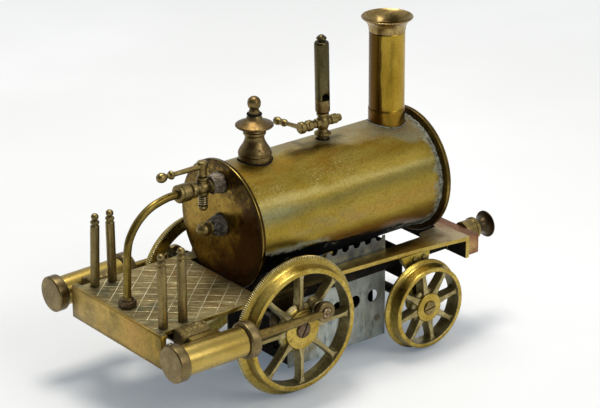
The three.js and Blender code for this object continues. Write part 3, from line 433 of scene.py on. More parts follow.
M["port"] = metal("port_block_rough", (122, 104, 64), (150, 130, 86), (56, 44, 28), 0.75, (0.42, 0.62), 5, 36, wear=0.7, edge=(188, 166, 112), grime=0.95, speck=0.8, metallic=0.8, bump=0.5, gain=(0.80, 0.80, 0.70))
M["horn"] = metal("hornblock_brass", (164, 142, 66), (188, 166, 90), (102, 82, 38), 0.4, (0.28, 0.42), 8, 38, wear=0.85, edge=(220, 200, 130), grime=0.85, speck=0.35, bump=0.15, gain=(0.90, 0.92, 0.70))
# painted shade: a darkened copy of the hornblock brass for the blocks behind the driving wheels
M["horn_dark"] = metal("hornblock_dark", (66, 56, 34), (94, 80, 50), (24, 20, 14), 0.7, (0.4, 0.6), 5, 39, wear=0.5, edge=(120, 104, 64), grime=0.95, speck=0.6, bump=0.3)
M["buffer"] = metal("buffer_dark", (60, 50, 34), (84, 70, 48), (30, 22, 14), 0.5, (0.34, 0.48), 6, 45, wear=0.6, edge=(150, 130, 90), grime=0.9, speck=0.35, bump=0.12)
M["rod_screw"] = metal("rod_screw_worn", (118, 92, 62), (176, 156, 120), (52, 36, 24), 0.7, (0.26, 0.42), 1.6, 49, wear=1.0, edge=(226, 214, 186), grime=0.95, speck=0.7, bump=0.2, ao_dist=1.2, edge_r=0.2)
# milled rim edge: the dark valleys are painted shade, the bright crests painted highlight
M["mill_lo"] = metal("milled_valley", (70, 56, 24), (96, 80, 38), (36, 28, 12), 0.6, (0.4, 0.6), 3, 55, wear=0.0, grime=0.9, speck=0.6)
M["mill_hi"] = metal("milled_crest", (176, 158, 96), (206, 190, 132), (120, 100, 50), 0.4, (0.22, 0.36), 3, 56, wear=0.6, edge=(250, 240, 200), grime=0.6, speck=0.3, gain=(1.30, 1.30, 1.30))
M["rod"] = metal("rod_brass_dirty", (122, 102, 54), (154, 132, 78), (58, 44, 22), 0.6, (0.26, 0.42), 7, 57, (0.4, 1, 1), (0.08, 1, 1), 0.7, (206, 186, 124), 0.9, speck=0.5, bump=0.2, gain=(0.85, 0.85, 0.8))
M["lip"] = metal("chimney_lip_bronze", (112, 96, 58), (146, 128, 82), (60, 46, 26), 0.55, (0.22, 0.38), 6, 58, wear=0.9, edge=(220, 200, 156), grime=0.8, speck=0.4, bump=0.15, gain=(1.50, 1.42, 1.40))
M["beam_red"] = metal("buffer_beam_red_brass", (132, 88, 62), (156, 110, 80), (84, 52, 36), 0.5, (0.34, 0.5), 7, 40, wear=0.9, edge=(200, 156, 112), grime=0.7, speck=0.5, bump=0.2, extra=beam_red_extra, gain=(0.90, 0.95, 0.90))
M["screw"] = metal("screw_steel", (88, 70, 54), (118, 98, 76), (44, 34, 28), 0.6, (0.32, 0.5), 3, 42, wear=0.9, edge=(172, 150, 118), grime=0.95, grime_col=(14, 10, 8), speck=0.6, bump=0.2, ao_dist=1.6)
M["steel"] = metal("axle_steel", (78, 70, 60), (104, 96, 84), (36, 30, 26), 0.6, (0.36, 0.55), 6, 44, wear=0.6, edge=(150, 140, 124), grime=0.9, speck=0.5, bump=0.2)
M["spring"] = metal("spring_wire", (168, 150, 112), (206, 190, 150), (90, 76, 52), 0.3, (0.22, 0.36), 3, 46, wear=0.4, edge=(240, 228, 190), grime=0.9, speck=0.2, bump=0.1, ao_dist=1.0)
M["bright"] = metal("bright_screw", (190, 178, 150), (224, 214, 190), (110, 92, 66), 0.4, (0.2, 0.34), 2, 48, wear=0.8, edge=(240, 232, 210), grime=0.95, speck=0.3, bump=0.1, ao_dist=1.2)


def crusty(name, a, b, dark, seed, met=0.35):
    """Lime and solder crust: pale, pitted, rough."""
    g = Graph(name)
    n = g.noise(2.2, 5, 0.7, seed)
    f = g.noise(0.6, 4, 0.7, seed + 2)
    c = g.cells(0.9, seed)
    col = g.mix(g.rng(n, 0.38, 0.62), C(*a), C(*b))
    pits = g.rng(g.add(g.mul(c, 0.8), g.mul(f, 0.6)), 0.72, 0.42)
    col = g.mix(g.mul(pits, 0.8), col, C(*dark))
    # painted shade: the crust darkens where ambient occlusion is low
    col = g.mix(g.mul(g.rng(g.ao(2.0), 0.8, 0.3), 0.8), col, C(*dark))
    return g.finish(col, g.rng(f, 0.3, 0.7, 0.5, 0.8), met, g.add(g.mul(c, 0.6), f), 0.6, 0.25)


M["solder"] = crusty("solder_crust", (104, 104, 88), (158, 158, 140), (30, 26, 18), 51, 0.3)
M["lime"] = crusty("lime_crust", (96, 84, 66), (142, 130, 112), (38, 30, 20), 53, 0.35)
M["blue"] = crusty("blue_black_crust", (58, 56, 52), (136, 130, 112), (20, 18, 16), 55, 0.4)


def soot_mat():
    g = Graph("soot_black")
    n = g.noise(6, 5, 0.65, 57)
    f = g.noise(0.8, 4, 0.7, 59)
    col = g.mix(g.rng(n, 0.35, 0.65), C(14, 12, 9), C(34, 29, 22))
    rust = g.mul(g.rng(g.noise(3, 4, 0.7, 63), 0.58, 0.7), 0.5)
    col = g.mix(rust, col, C(70, 48, 30))
    return g.finish(col, g.rng(f, 0.3, 0.7, 0.75, 0.95), 0.0, g.add(f, g.mul(n, 0.6)), 0.45, 0.2, 0.15)


def zinc_mat():
    """Galvanised sheet: bluish grey, streaked, with heat stains near the top."""
    g = Graph("zinc_sheet")
    big = g.noise(14, 4, 0.6, 65, (1, 1, 0.45))
    mid = g.noise(4, 5, 0.65, 67, (1, 1, 0.5))
    fine = g.noise(0.6, 4, 0.65, 69)
    col = g.mix(g.rng(big, 0.36, 0.64), C(148, 154, 150), C(192, 198, 190))
    blue = g.mul(g.rng(mid, 0.5, 0.68), 0.65)
    col = g.mix(blue, col, C(92, 104, 116))
    warm = g.mul(g.rng(g.noise(8, 4, 0.6, 71), 0.52, 0.68), g.rng(g.z, 40, 14), 0.75)
    col = g.mix(warm, col, C(168, 156, 120))
    dx, dz = g.op("SUBTRACT", g.x, 62.0), g.op("SUBTRACT", g.z, 15.5)
    spot = g.rng(g.add(g.mul(dx, dx), g.mul(dz, dz), g.mul(mid, 8)), 9.5, 5.5, 0.0, 0.75)
    col = g.mix(spot, col, C(104, 82, 48))
    soot = g.mul(g.rng(g.add(g.z, g.mul(mid, 8)), 52, 60), 0.7)
    col = g.mix(soot, col, C(60, 60, 58))
    drips = g.mul(g.rng(g.noise(1.6, 3, 0.6, 73, (1, 1, 0.1)), 0.56, 0.68), g.rng(g.z, 36, 56), 0.5)
    col = g.mix(drips, col, C(84, 90, 94))
    tan = g.mul(g.rng(g.x, 30, 12), g.rng(mid, 0.36, 0.56), 0.6)
    col = g.mix(tan, col, C(116, 104, 66))
    runs = g.mul(g.rng(g.noise(2.4, 4, 0.7, 75, (1, 1, 0.12)), 0.58, 0.66), g.rng(g.z, 40, 10), 0.55)
    col = g.mix(runs, col, C(222, 224, 206))
    rub = g.mul(g.rng(g.edges(0.3), 0.03, 0.25), 0.5)
    col = g.mix(rub, col, C(214, 218, 214))
    return g.finish(col, g.rng(g.add(g.mul(mid, 0.6), g.mul(fine, 0.4)), 0.35, 0.65, 0.34, 0.55), 0.8, g.add(fine, mid), 0.25, 0.2)


M["soot"] = soot_mat()
M["zinc"] = zinc_mat()


# ------------------------------------------------------------------ mesh toolkit
# A part is (vertices in mm, faces, material number). Parts are joined into one object.
def rounded(prof, closed=False, n=4):
    """Rounds the corners of a 2-D line. A point is (a, b) or (a, b, setback)."""
    pts = [(p[0], p[1], p[2] if len(p) > 2 else 0.0) for p in prof]
    out, m = [], len(pts)
    for i, (x, y, f) in enumerate(pts):
        if f <= 0 or (not closed and i in (0, m - 1)):
            out.append((x, y))
            continue
        a, b = Vector(pts[i - 1][:2]) - Vector((x, y)), Vector(pts[(i + 1) % m][:2]) - Vector((x, y))
        if a.length < 1e-6 or b.length < 1e-6:
            out.append((x, y))
            continue
        p0, p2 = Vector((x, y)) + a.normalized() * min(f, a.length * 0.49), Vector((x, y)) + b.normalized() * min(f, b.length * 0.49)
        for k in range(n + 1):
            t = k / n
            q = p0 * (1 - t) ** 2 + Vector((x, y)) * 2 * t * (1 - t) + p2 * t * t
            out.append((q.x, q.y))
    return out


def lathe(prof, axis="z", at=(0, 0, 0), seg=48, rfun=None, loop=False, n=4, mat=0, start=0.0, raw=False):
    """Turns a profile of (radius, distance along the axis) about the axis."""
    pts = prof if raw else rounded(prof, loop, n)
    verts, rings = [], []
    for r, t in pts:
        if r < 1e-5:
            rings.append([len(verts)])
            cs = [(0.0, 0.0)]
        else:
            rings.append(list(range(len(verts), len(verts) + seg)))
            cs = []
            for i in range(seg):
                th = start + TAU * i / seg
                q = rfun(th, r, t) if rfun else r
                cs.append((q * math.cos(th), q * math.sin(th)))
        for c, s in cs:
            v = {"z": (c, s, t), "x": (t, c, s), "y": (s, t, c)}[axis]
            verts.append((v[0] + at[0], v[1] + at[1], v[2] + at[2]))
    faces = []
    pairs = list(zip(rings[:-1], rings[1:])) + ([(rings[-1], rings[0])] if loop else [])
    for a, b in pairs:
        if len(a) == 1 and len(b) == 1:
            continue
        for i in range(seg):
            j = (i + 1) % seg
            if len(a) == 1:
                faces.append((a[0], b[i], b[j]))
            elif len(b) == 1:
                faces.append((a[i], a[j], b[0]))
            else:
                faces.append((a[i], a[j], b[j], b[i]))
    return verts, faces, mat


def hexed(apothem, phase=0.0):
    """A radius function that cuts six flats."""
    def f(th, r, t):
        a = (th - phase) % (TAU / 6) - TAU / 12
        return min(r, apothem / math.cos(a))
    return f


def notched(count, depth, lo):
    """A radius function for milled or knurled edges beyond radius lo."""
    def f(th, r, t):
        return r - depth * (0.5 - 0.5 * math.cos(th * count)) if r > lo else r
    return f


def bumpy(amount, size, seed=0.0, lo=0.0):
    def f(th, r, t):
        if r < lo:
            return r
        v = Vector((math.cos(th) * r, math.sin(th) * r, t)) / size + Vector((seed, seed, seed))
        return r + amount * noise.fractal(v, 1.0, 2.0, 3)
    return f


def catmull(pts, per=10):
    p = [Vector(q) for q in pts]
    p = [p[0] * 2 - p[1]] + p + [p[-1] * 2 - p[-2]]
    out = []
    for i in range(1, len(p) - 2):
        a, b, c, d = p[i - 1], p[i], p[i + 1], p[i + 2]
        for k in range(per):
            t = k / per
            out.append(0.5 * ((2 * b) + (c - a) * t + (2 * a - 5 * b + 4 * c - d) * t * t + (3 * b - a - 3 * c + d) * t ** 3))
    out.append(p[-2].copy())
    return out


def tube(path, r, sides=16, mat=0, rfun=None):
    """A swept round bar with flat ends."""
    path = [Vector(q) for q in path]
    n = len(path)
    tan = [(path[min(i + 1, n - 1)] - path[max(i - 1, 0)]).normalized() for i in range(n)]
    ref = Vector((0, 1, 0)) if abs(tan[0].y) < 0.9 else Vector((1, 0, 0))
    u = (ref - tan[0] * ref.dot(tan[0])).normalized()
    verts, faces = [], []
    for i in range(n):
        u = (u - tan[i] * u.dot(tan[i])).normalized()
        w = tan[i].cross(u)
        rr = rfun(i / (n - 1)) if rfun else r
        for k in range(sides):
            a = TAU * k / sides
            verts.append(tuple(path[i] + (u * math.cos(a) + w * math.sin(a)) * rr))
        if i:
            b = (i - 1) * sides
            for k in range(sides):
                j = (k + 1) % sides
                faces.append((b + k, b + j, b + sides + j, b + sides + k))
    faces.append(tuple(range(sides))[::-1])
    faces.append(tuple(range((n - 1) * sides, n * sides)))
    return verts, faces, mat


def helix(axis, at, r, t0, t1, turns, wire, per=20, sides=8, mat=0):
    pts = []
    n = int(turns * per)
    for i in range(n + 1):
        a, t = TAU * turns * i / n, t0 + (t1 - t0) * i / n
        c, s = r * math.cos(a), r * math.sin(a)
        v = {"z": (c, s, t), "x": (t, c, s), "y": (s, t, c)}[axis]
        pts.append((v[0] + at[0], v[1] + at[1], v[2] + at[2]))
    return tube(pts, wire, sides, mat)


def prism(outline, a0, a1, plane="xz", holes=(), mat=0):
    """A plate with an outline and holes, thickened across its plane."""
    loops = [outline, *holes]
    flat = [Vector((p[0], p[1], 0)) for l in loops for p in l]
    tris = geometry.tessellate_polygon([[Vector((p[0], p[1], 0)) for p in l] for l in loops])
    put = {"xz": lambda p, d: (p[0], d, p[1]), "xy": lambda p, d: (p[0], p[1], d), "yz": lambda p, d: (d, p[0], p[1])}[plane]
    verts = [put(p, a0) for p in flat] + [put(p, a1) for p in flat]
    m = len(flat)
    faces = [tuple(t) for t in tris] + [tuple(i + m for i in t)[::-1] for t in tris]
    b = 0
    for l in loops:
        for i in range(len(l)):
            j = (i + 1) % len(l)
            faces.append((b + i, b + j, b + j + m, b + i + m))
        b += len(l)
    return verts, faces, mat


def loft(sections, mat=0):
    """Joins equal rings of points and caps both ends."""
    k = len(sections[0])
    verts = [tuple(v) for s in sections for v in s]
    faces = []
    for a in range(len(sections) - 1):
        for i in range(k):
            j = (i + 1) % k
            faces.append((a * k + i, a * k + j, (a + 1) * k + j, (a + 1) * k + i))
    faces.append(tuple(range(k))[::-1])
    faces.append(tuple(range((len(sections) - 1) * k, len(sections) * k)))
    return verts, faces, mat


def slab(x, y, z, mat=0):
    return prism([(x[0], z[0]), (x[1], z[0]), (x[1], z[1]), (x[0], z[1])], y[0], y[1], "xz", (), mat)


def ring2(cx, cz, r, n, start=0.0):
    return [(cx + r * math.cos(start + TAU * i / n), cz + r * math.sin(start + TAU * i / n)) for i in range(n)]


def moved(part, m):
    return [tuple(m @ Vector(v)) for v in part[0]], part[1], part[2]


def mirrored(part):
    return [(v[0], -v[1], v[2]) for v in part[0]], [tuple(reversed(f)) for f in part[1]], part[2]


def remat(part, mat):
    return part[0], part[1], mat


def raw_object(name, parts, mats):
    me = bpy.data.meshes.new(name)
    verts, faces, idx = [], [], []
    for v, f, m in parts:
        b = len(verts)
        verts += [(p[0] * MM, p[1] * MM, p[2] * MM) for p in v]
        faces += [tuple(i + b for i in q) for q in f]
        idx += [m] * len(f)
    me.from_pydata(verts, [], faces)
    me.polygons.foreach_set("material_index", idx)
    for m in mats:
        me.materials.append(M[m] if isinstance(m, str) else m)
    bm = bmesh.new()
    bm.from_mesh(me)
    bmesh.ops.remove_doubles(bm, verts=bm.verts, dist=1e-7)
    bmesh.ops.recalc_face_normals(bm, faces=bm.faces)
    bm.to_mesh(me)
    bm.free()
    o = bpy.data.objects.new(name, me)
    COLL.objects.link(o)
    return o


def bevelled(o, width, segments=2, angle=40.0, pick=None):
    bm = bmesh.new()
    bm.from_mesh(o.data)
    lim = math.radians(angle)
    es = [e for e in bm.edges if len(e.link_faces) == 2 and e.calc_face_angle(0) > lim and (pick is None or pick(e))]
    if es:
        bmesh.ops.bevel(bm, geom=es, offset=width * MM, offset_type="OFFSET", segments=segments, profile=0.6, affect="EDGES", clamp_overlap=True)
    bm.to_mesh(o.data)
    bm.free()
    return o


def boolean(o, cutters, op="DIFFERENCE", solver="EXACT", transfer=False):
    """Applies cutters to o one after another and removes them."""
    for c in cutters:
        mod = o.modifiers.new("b", "BOOLEAN")
        mod.operation, mod.solver, mod.object = op, solver, c
        if transfer:
            mod.material_mode = "TRANSFER"
    bpy.context.view_layer.update()
    me = bpy.data.meshes.new_from_object(o.evaluated_get(bpy.context.evaluated_depsgraph_get()))
    o.modifiers.clear()
    old, o.data = o.data, me
    me.name = o.name
    bpy.data.meshes.remove(old)
    for c in cutters:
        old = c.data
        bpy.data.objects.remove(c)
        bpy.data.meshes.remove(old)
    return o


def finish(o, body, replaces=(), sharp=32.0):
    me = o.data
    me.polygons.foreach_set("use_smooth", [True] * len(me.polygons))
    me.set_sharp_from_angle(angle=math.radians(sharp))
    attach(o, body)
    if replaces:
        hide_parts(*replaces)
    return o


def piece(name, parts, mats, body, replaces=(), sharp=32.0, bevel=None, union=False):
    """One finished piece. union welds overlapping parts into one skin."""
    mats = [mats] if isinstance(mats, str) else mats
    if union and len(parts) > 1:
        o = raw_object(name, parts[:1], mats)
        rest = [raw_object(name + "_u%d" % i, [p], mats) for i, p in enumerate(parts[1:])]
        boolean(o, rest, "UNION")
    else:
        o = raw_object(name, parts, mats)
    if bevel:
        bevelled(o, *bevel)
    return finish(o, body, replaces, sharp)


def cad_copy(node, name, mats):
    """A new mesh with the shape of a CAD node, its flat faces joined."""
    src = frame["nodes"][node].data
    me = bpy.data.meshes.new(name)
    bm = bmesh.new()
    bm.from_mesh(src)
    bmesh.ops.translate(bm, verts=bm.verts, vec=(CENTRE_X * MM, 0, 0))
    bmesh.ops.remove_doubles(bm, verts=bm.verts, dist=2e-6)
    bmesh.ops.dissolve_limit(bm, angle_limit=math.radians(1.0), verts=bm.verts, edges=bm.edges)
    bmesh.ops.recalc_face_normals(bm, faces=bm.faces)
    for f in bm.faces:
        f.material_index = 0
    bm.to_mesh(me)
    bm.free()
    for m in mats:
        me.materials.append(M[m])
    o = bpy.data.objects.new(name, me)
    COLL.objects.link(o)
    return o


# ------------------------------------------------------------------ frame casting
def hatch(angle, offsets, width, depth):
    """V-shaped cutters for one set of scribed lines on the footplate."""
    a = math.radians(angle)
    d, n = Vector((math.cos(a), math.sin(a), 0)), Vector((-math.sin(a), math.cos(a), 0))
    parts = []
    for k, c in enumerate(offsets):
        # keep only the stretch that crosses the footplate
        base = n * c
        ts = []
        for t in [i * 0.5 for i in range(-240, 241)]:
            p = base + d * t
            if -73.8 < p.x < -15.6 and abs(p.y) < 31.9:
                ts.append(t)
        if len(ts) < 8:
            continue
        wig = 0.12 * math.sin(k * 2.3)
        t0, t1 = ts[0], ts[-1]
        secs = []
        m = 9
        for i in range(m):
            t = t0 + (t1 - t0) * i / (m - 1)
            q = base + d * t + n * (wig * math.sin(i * 1.3 + k))
            w = width * (0.5 + 0.08 * math.sin(i * 2.1 + k * 1.7))
            dep = depth if 0 < i < m - 1 else depth * 0.35
            if i in (0, m - 1):
                w *= 0.4
            top = DECK_TOP + 0.25
            secs.append([q + n * (w * 1.9) + Vector((0, 0, top)), q - n * (w * 1.9) + Vector((0, 0, top)), q + Vector((0, 0, DECK_TOP - dep))])
        parts.append(loft(secs))
    return parts


o = cad_copy("frame", "frame_casting", ["rail", "deck", "soot", "beam"])
bevelled(o, 1.1, 4, 40, lambda e: all(abs(v.co.x + 0.0761) < 2e-5 and abs(v.co.z - 0.05163) < 2e-5 for v in e.verts))
bevelled(o, 0.3, 2, 50)
bm = bmesh.new()
bm.from_mesh(o.data)
bmesh.ops.bisect_plane(bm, geom=bm.verts[:] + bm.edges[:] + bm.faces[:], dist=1e-7, plane_co=(-0.0152, 0, 0), plane_no=(1, 0, 0))  # border of the footplate
bm.to_mesh(o.data)
bm.free()
for f in o.data.polygons:
    c, n = f.center / MM, f.normal
    if c.x < -73.4 and c.z < 51.62 and n.x < -0.05:
        f.material_index = 3
    elif n.z > 0.5 and c.x < -15.2 and c.z > 50:
        f.material_index = 1
    elif n.z > 0.3 and c.z > 50:
        f.material_index = 0
    # soot black on down-facing, inner and lower faces: painted shade under and inside the frame, with soot from the
    # burner
    elif n.z < -0.5 or (c.x > -15 and abs(c.y) < 25.3 and c.z < 51) or (c.z < 49.4 and c.x < 106 and abs(c.y) < 26.4):
        f.material_index = 2
    elif c.x > -72.5 and c.x < 106 and c.z < 49.5:
        f.material_index = 2
cut_a = raw_object("cut_a", hatch(42.0, [-17.4, -10.0, -2.9, 4.4, 12.15, 19.3, 26.6, 34.0, 41.2, 48.7, 55.8, 63.0], 0.48, 0.24), ["scribe"])
cut_b = raw_object("cut_b", hatch(-42.0, [-69.0, -59.8, -51.6, -45.6, -39.3, -32.2, -25.0, -19.3, -12.0, -5.2, 2.0, 9.4], 0.46, 0.22), ["scribe_dull"])
boolean(o, [cut_b, cut_a], "DIFFERENCE", "EXACT", True)
finish(o, "chassis", ["frame"], 30)
for f in o.data.polygons:
    if f.normal.z > 0.995 and f.center.z > (DECK_TOP - 0.02) * MM and f.center.x < -0.0152:
        f.use_smooth = False

o = cad_copy("buffer_beam", "front_buffer_beam", ["beam_red"])
bevelled(o, 0.7, 4, 50)
finish(o, "chassis", ["buffer_beam"], 40)

# ------------------------------------------------------------------ boiler
def dent(th, r, t):
    if r < 28.3:
        return r
    v = Vector((t / 34.0, math.cos(th) * 1.7, math.sin(th) * 1.7))
    return r - 0.06 + 0.1 * noise.noise(v) + 0.03 * noise.noise(v * 3.1)


xs = [BOILER_X0 for BOILER_X0 in [-12.1]] + [-12.1 + 112.1 * i / 44 for i in range(1, 44)] + [100.0]
barrel = [(BOILER_R, x) for x in xs] + [(27.6, 100.0), (27.6, -12.1)]
piece("boiler_shell", [lathe(barrel, "x", (0, 0, BOILER_Z), 144, dent, True, raw=True)], "boiler", "chassis", ["boiler_barrel"])
piece("boiler_back", [lathe([(0, -14.3), (31.7, -14.3, 0.5), (32.09, -13.9, 0.3), (32.09, -12.2, 0.25), (27.3, -12.2), (27.3, -9.2, 0.3), (0, -9.2)], "x", (0, 0, BOILER_Z), 144,
      lambda th, r, t: r + (0.05 * noise.noise(Vector((math.cos(th) * 2, math.sin(th) * 2, t))) - 0.06 if r > 31 else 0))],
      "plate", "chassis", ["boiler_rear_plate"])
piece("boiler_front", [lathe([(0, 97), (27.3, 97), (27.3, 100.1), (32.1, 100.1, 0.25), (32.42, 100.5, 0.3), (32.38, 101.15, 0.1), (32.05, 101.4, 0.1), (32.38, 101.65, 0.1), (32.42, 102.3, 0.3), (32.0, 102.7, 0.3), (24, 102.7, 0.5), (23.4, 102.3, 0.5), (0, 102.3)],
      "x", (0, 0, BOILER_Z), 144)], "front_plate", "chassis", ["boiler_front_plate"])
piece("solder_front", [lathe([(28.64, 98.1), (28.95, 98.5), (29.3, 99.2), (29.5, 99.7), (28.64, 99.75)], "x", (0, 0, BOILER_Z), 220,
      lambda th, r, t: (r + (0.6 * noise.fractal(Vector((math.cos(th) * 8, math.sin(th) * 8, t * 0.8)), 1.0, 2.0, 4) - 0.12 if r > 28.8 else 0)), True, raw=True)],
      "solder", "chassis", sharp=60)


def saddle_ring(name, x, r0, r1, h, mat, seed, amount=0.25):
    """A rough fillet that follows the barrel round a fitting."""
    seg, prof = 72, [(r0, 0.0), (r0 + (r1 - r0) * 0.35, h), (r1 - 0.2, h * 0.45), (r1, 0.0)]
    verts, faces = [], []
    for i in range(seg):
        th = TAU * i / seg
        for j, (r, dz) in enumerate(prof):
            rr = r + amount * noise.fractal(Vector((math.cos(th) * 3, math.sin(th) * 3, j + seed)), 1.0, 2.0, 3)
            if j == 0:
                rr = r
            px, py = rr * math.cos(th), rr * math.sin(th)
            zz = BOILER_Z + math.sqrt(max((BOILER_R + 0.03) ** 2 - py * py, 0.0))
            verts.append((x + px, py, zz + max(dz, 0.0) * (1 + 0.5 * noise.noise(Vector((th * 3, j, seed))))))
    k = len(prof)
    for i in range(seg):
        a, b = i * k, ((i + 1) % seg) * k
        for j in range(k):
            jj = (j + 1) % k
            faces.append((a + j, b + j, b + jj, a + jj))
    return piece(name, [(verts, faces, 0)], mat, "chassis", sharp=60)


saddle_ring("solder_chimney", CHIMNEY_X, 9.16, 9.75, 0.4, "solder", 3, 0.15)
saddle_ring("dirt_valve", VALVE_X, 7.98, 8.6, 0.45, "soot", 5, 0.15)
saddle_ring("dirt_whistle", WHISTLE_X, 2.85, 3.5, 0.4, "soot", 7, 0.12)

# ------------------------------------------------------------------ chimney
def saddled(prof, x, seg, name, mats, body, rep, loop=False, rfun=None):
    """A turned fitting whose foot is shaped to the barrel."""
    o = raw_object(name, [lathe(prof, "z", (x, 0, 0), seg, rfun, loop)], mats)
    cut = raw_object(name + "_cut", [lathe([(0, -20), (BOILER_R + 0.12, -20), (BOILER_R + 0.12, 110), (0, 110)], "x", (0, 0, BOILER_Z), 200)], mats)
    boolean(o, [cut])
    return finish(o, body, rep)


saddled([(7.9, 104.5), (9.08, 104.5), (9.08, 112.9, 0.2), (8.78, 113.25, 0.1), (9.08, 113.55, 0.1), (8.86, 113.9, 0.15), (8.86, 152.4, 0.15), (8.66, 152.75), (7.9, 152.75)],
        CHIMNEY_X, 96, "chimney_pipe", ["chimney"], "chassis", ["chimney_tube"], True)
piece("chimney_lip", [lathe([(7.9, 152.95), (9.0, 152.95, 0.15), (9.12, 154.9, 1.0), (9.7, 156.6, 1.0), (10.9, 158.3, 1.0), (12.55, 159.45, 0.5), (12.77, 159.9, 0.25), (12.45, 160.2, 0.25),
      (11.5, 159.5, 0.6), (9.7, 157.7, 1.2), (8.5, 155.9, 1.2), (7.9, 154.4, 0.5)], "z", (CHIMNEY_X, 0, 0), 96, None, True)],
      "lip", "chassis", ["chimney_cap"])
piece("chimney_bore", [lathe([(7.3, 100.0), (7.8, 100.0), (7.8, 154.2), (7.3, 154.2)], "z", (CHIMNEY_X, 0, 0), 48, None, True)], "soot", "chassis")

# ------------------------------------------------------------------ safety valve
saddled([(0, 104.4), (7.6, 104.4), (8.0, 107.0, 0.6), (7.9, 108.4, 0.3), (7.75, 108.65, 0.12), (8.1, 109.1, 0.25), (8.05, 110.2, 0.5), (7.4, 111.6, 0.8), (6.1, 113.5, 1.0), (5.0, 115.6, 1.0), (4.58, 117.4, 0.8), (4.9, 118.7, 0.35),
         (5.45, 119.15, 0.15), (5.5, 120.35, 0.15), (2.15, 120.4), (2.15, 109.0), (0, 109.0)], VALVE_X, 72, "valve_stand", ["bronze"], "chassis", ["safety_valve_body"])
piece("valve_cap", [lathe([(0, 111.2), (1.85, 111.2), (1.85, 120.6), (5.45, 120.6, 0.15), (5.65, 122.1, 0.25), (8.8, 122.8, 0.2), (9.2, 123.2, 0.2), (9.15, 123.7, 0.2), (8.7, 124.05, 0.3), (6.4, 125.0, 0.8), (4.7, 125.9, 0.5),
      (3.8, 126.5, 0.2), (3.75, 127.4, 0.25), (3.3, 127.9, 0.1), (3.1, 128.3, 0.2), (2.6, 129.4, 0.4), (2.6, 130.6, 0.2), (1.9, 131.2, 0.2), (2.4, 131.8, 0.4), (3.05, 132.8, 0.7), (3.3, 134.35, 0.9), (2.95, 136.1, 0.9),
      (1.7, 137.35, 0.8), (0, 137.7)], "z", (VALVE_X, 0, 0), 72)], "bronze", "valve_top", ["safety_valve_top"])
piece("valve_gasket", [lathe([(2.9, 128.45), (3.55, 128.5, 0.1), (3.75, 128.9, 0.2), (3.5, 129.3, 0.15), (2.75, 129.35)], "z", (VALVE_X, 0, 0), 40, bumpy(0.12, 1.0, 3), True)],
      "soot", "valve_top")

# ------------------------------------------------------------------ whistle
body = lathe([(0, 105.4), (2.8, 105.4), (2.8, 108.2, 0.2), (3.2, 108.5, 0.15), (4.2, 108.9, 0.2), (4.2, 109.7, 0.25), (2.6, 110.6, 0.4), (2.4, 111.6, 0.5), (3.1, 113.2, 0.7), (3.25, 114.8, 0.8), (3.1, 116.4, 0.7),
              (2.4, 117.5, 0.5), (2.4, 118.2, 0.2), (3.05, 118.7, 0.2), (3.05, 119.7, 0.25), (2.2, 120.1), (0, 120.1)], "z", (WHISTLE_X, 0, 0), 56)
cross = lathe([(0, -4.6), (2.1, -4.6, 0.2), (2.35, -4.2, 0.2), (2.3, 3.5, 0.2), (2.0, 3.9), (0, 3.9)], "x", (WHISTLE_X, 0, COCK_Z), 40)
o = raw_object("whistle_cock", [body], ["fittings"])
boolean(o, [raw_object("wc_u", [cross], ["fittings"])], "UNION")
boolean(o, [raw_object("wc_c", [lathe([(0, -20), (BOILER_R + 0.12, -20), (BOILER_R + 0.12, 110), (0, 110)], "x", (0, 0, BOILER_Z), 200)], ["fittings"]),
            raw_object("wc_d", [lathe([(0, -9), (1.45, -9), (1.45, 9), (0, 9)], "x", (WHISTLE_X, 0, COCK_Z), 40)], ["fittings"])])
finish(o, "chassis", ["whistle_cock_body"])
lean = Matrix.Translation((WHISTLE_X, 0, 120.4)) @ Matrix.Rotation(math.radians(-1.0), 4, "Y") @ Matrix.Translation((-WHISTLE_X, 0, -120.4))
tube_prof = [(0, 120.4), (3.3, 120.4, 0.2), (3.6, 120.9, 0.2), (3.6, 126.35, 0.08), (3.5, 126.5), (3.6, 126.65, 0.08), (3.6, 155.0, 0.4), (3.1, 156.0, 0.5), (0, 156.0)]
o = raw_object("whistle_pipe", [moved(lathe(tube_prof, "z", (WHISTLE_X, 0, 0), 64), lean)], ["whistle", "bronze"])
wedge = moved(prism([(-5, 126.7), (-1.0, 126.7), (-3.7, 132.0), (-5, 132.0)], WHISTLE_X - 2.4, WHISTLE_X + 2.4, "yz"), lean)
boolean(o, [raw_object("w_c1", [moved(lathe([(0, 127.2), (2.75, 127.2), (2.75, 153.5), (0, 153.5)], "z", (WHISTLE_X, 0, 0), 48), lean)], ["soot"]), raw_object("w_c2", [wedge], ["soot"])])
for f in o.data.polygons:
    if f.center.z < 0.1264:
        f.material_index = 1
finish(o, "chassis", ["whistle_tube"])
piece("whistle_top", [moved(lathe([(0, 156.15), (1.5, 156.15), (1.4, 156.7, 0.2), (2.3, 157.0, 0.3), (2.6, 157.5, 0.25), (2.3, 158.0, 0.3), (1.7, 158.6, 0.4), (0.9, 159.2, 0.3), (0, 159.4)], "z", (WHISTLE_X, 0, 0), 40), lean)],
      "whistle", "chassis", ["whistle_finial"])
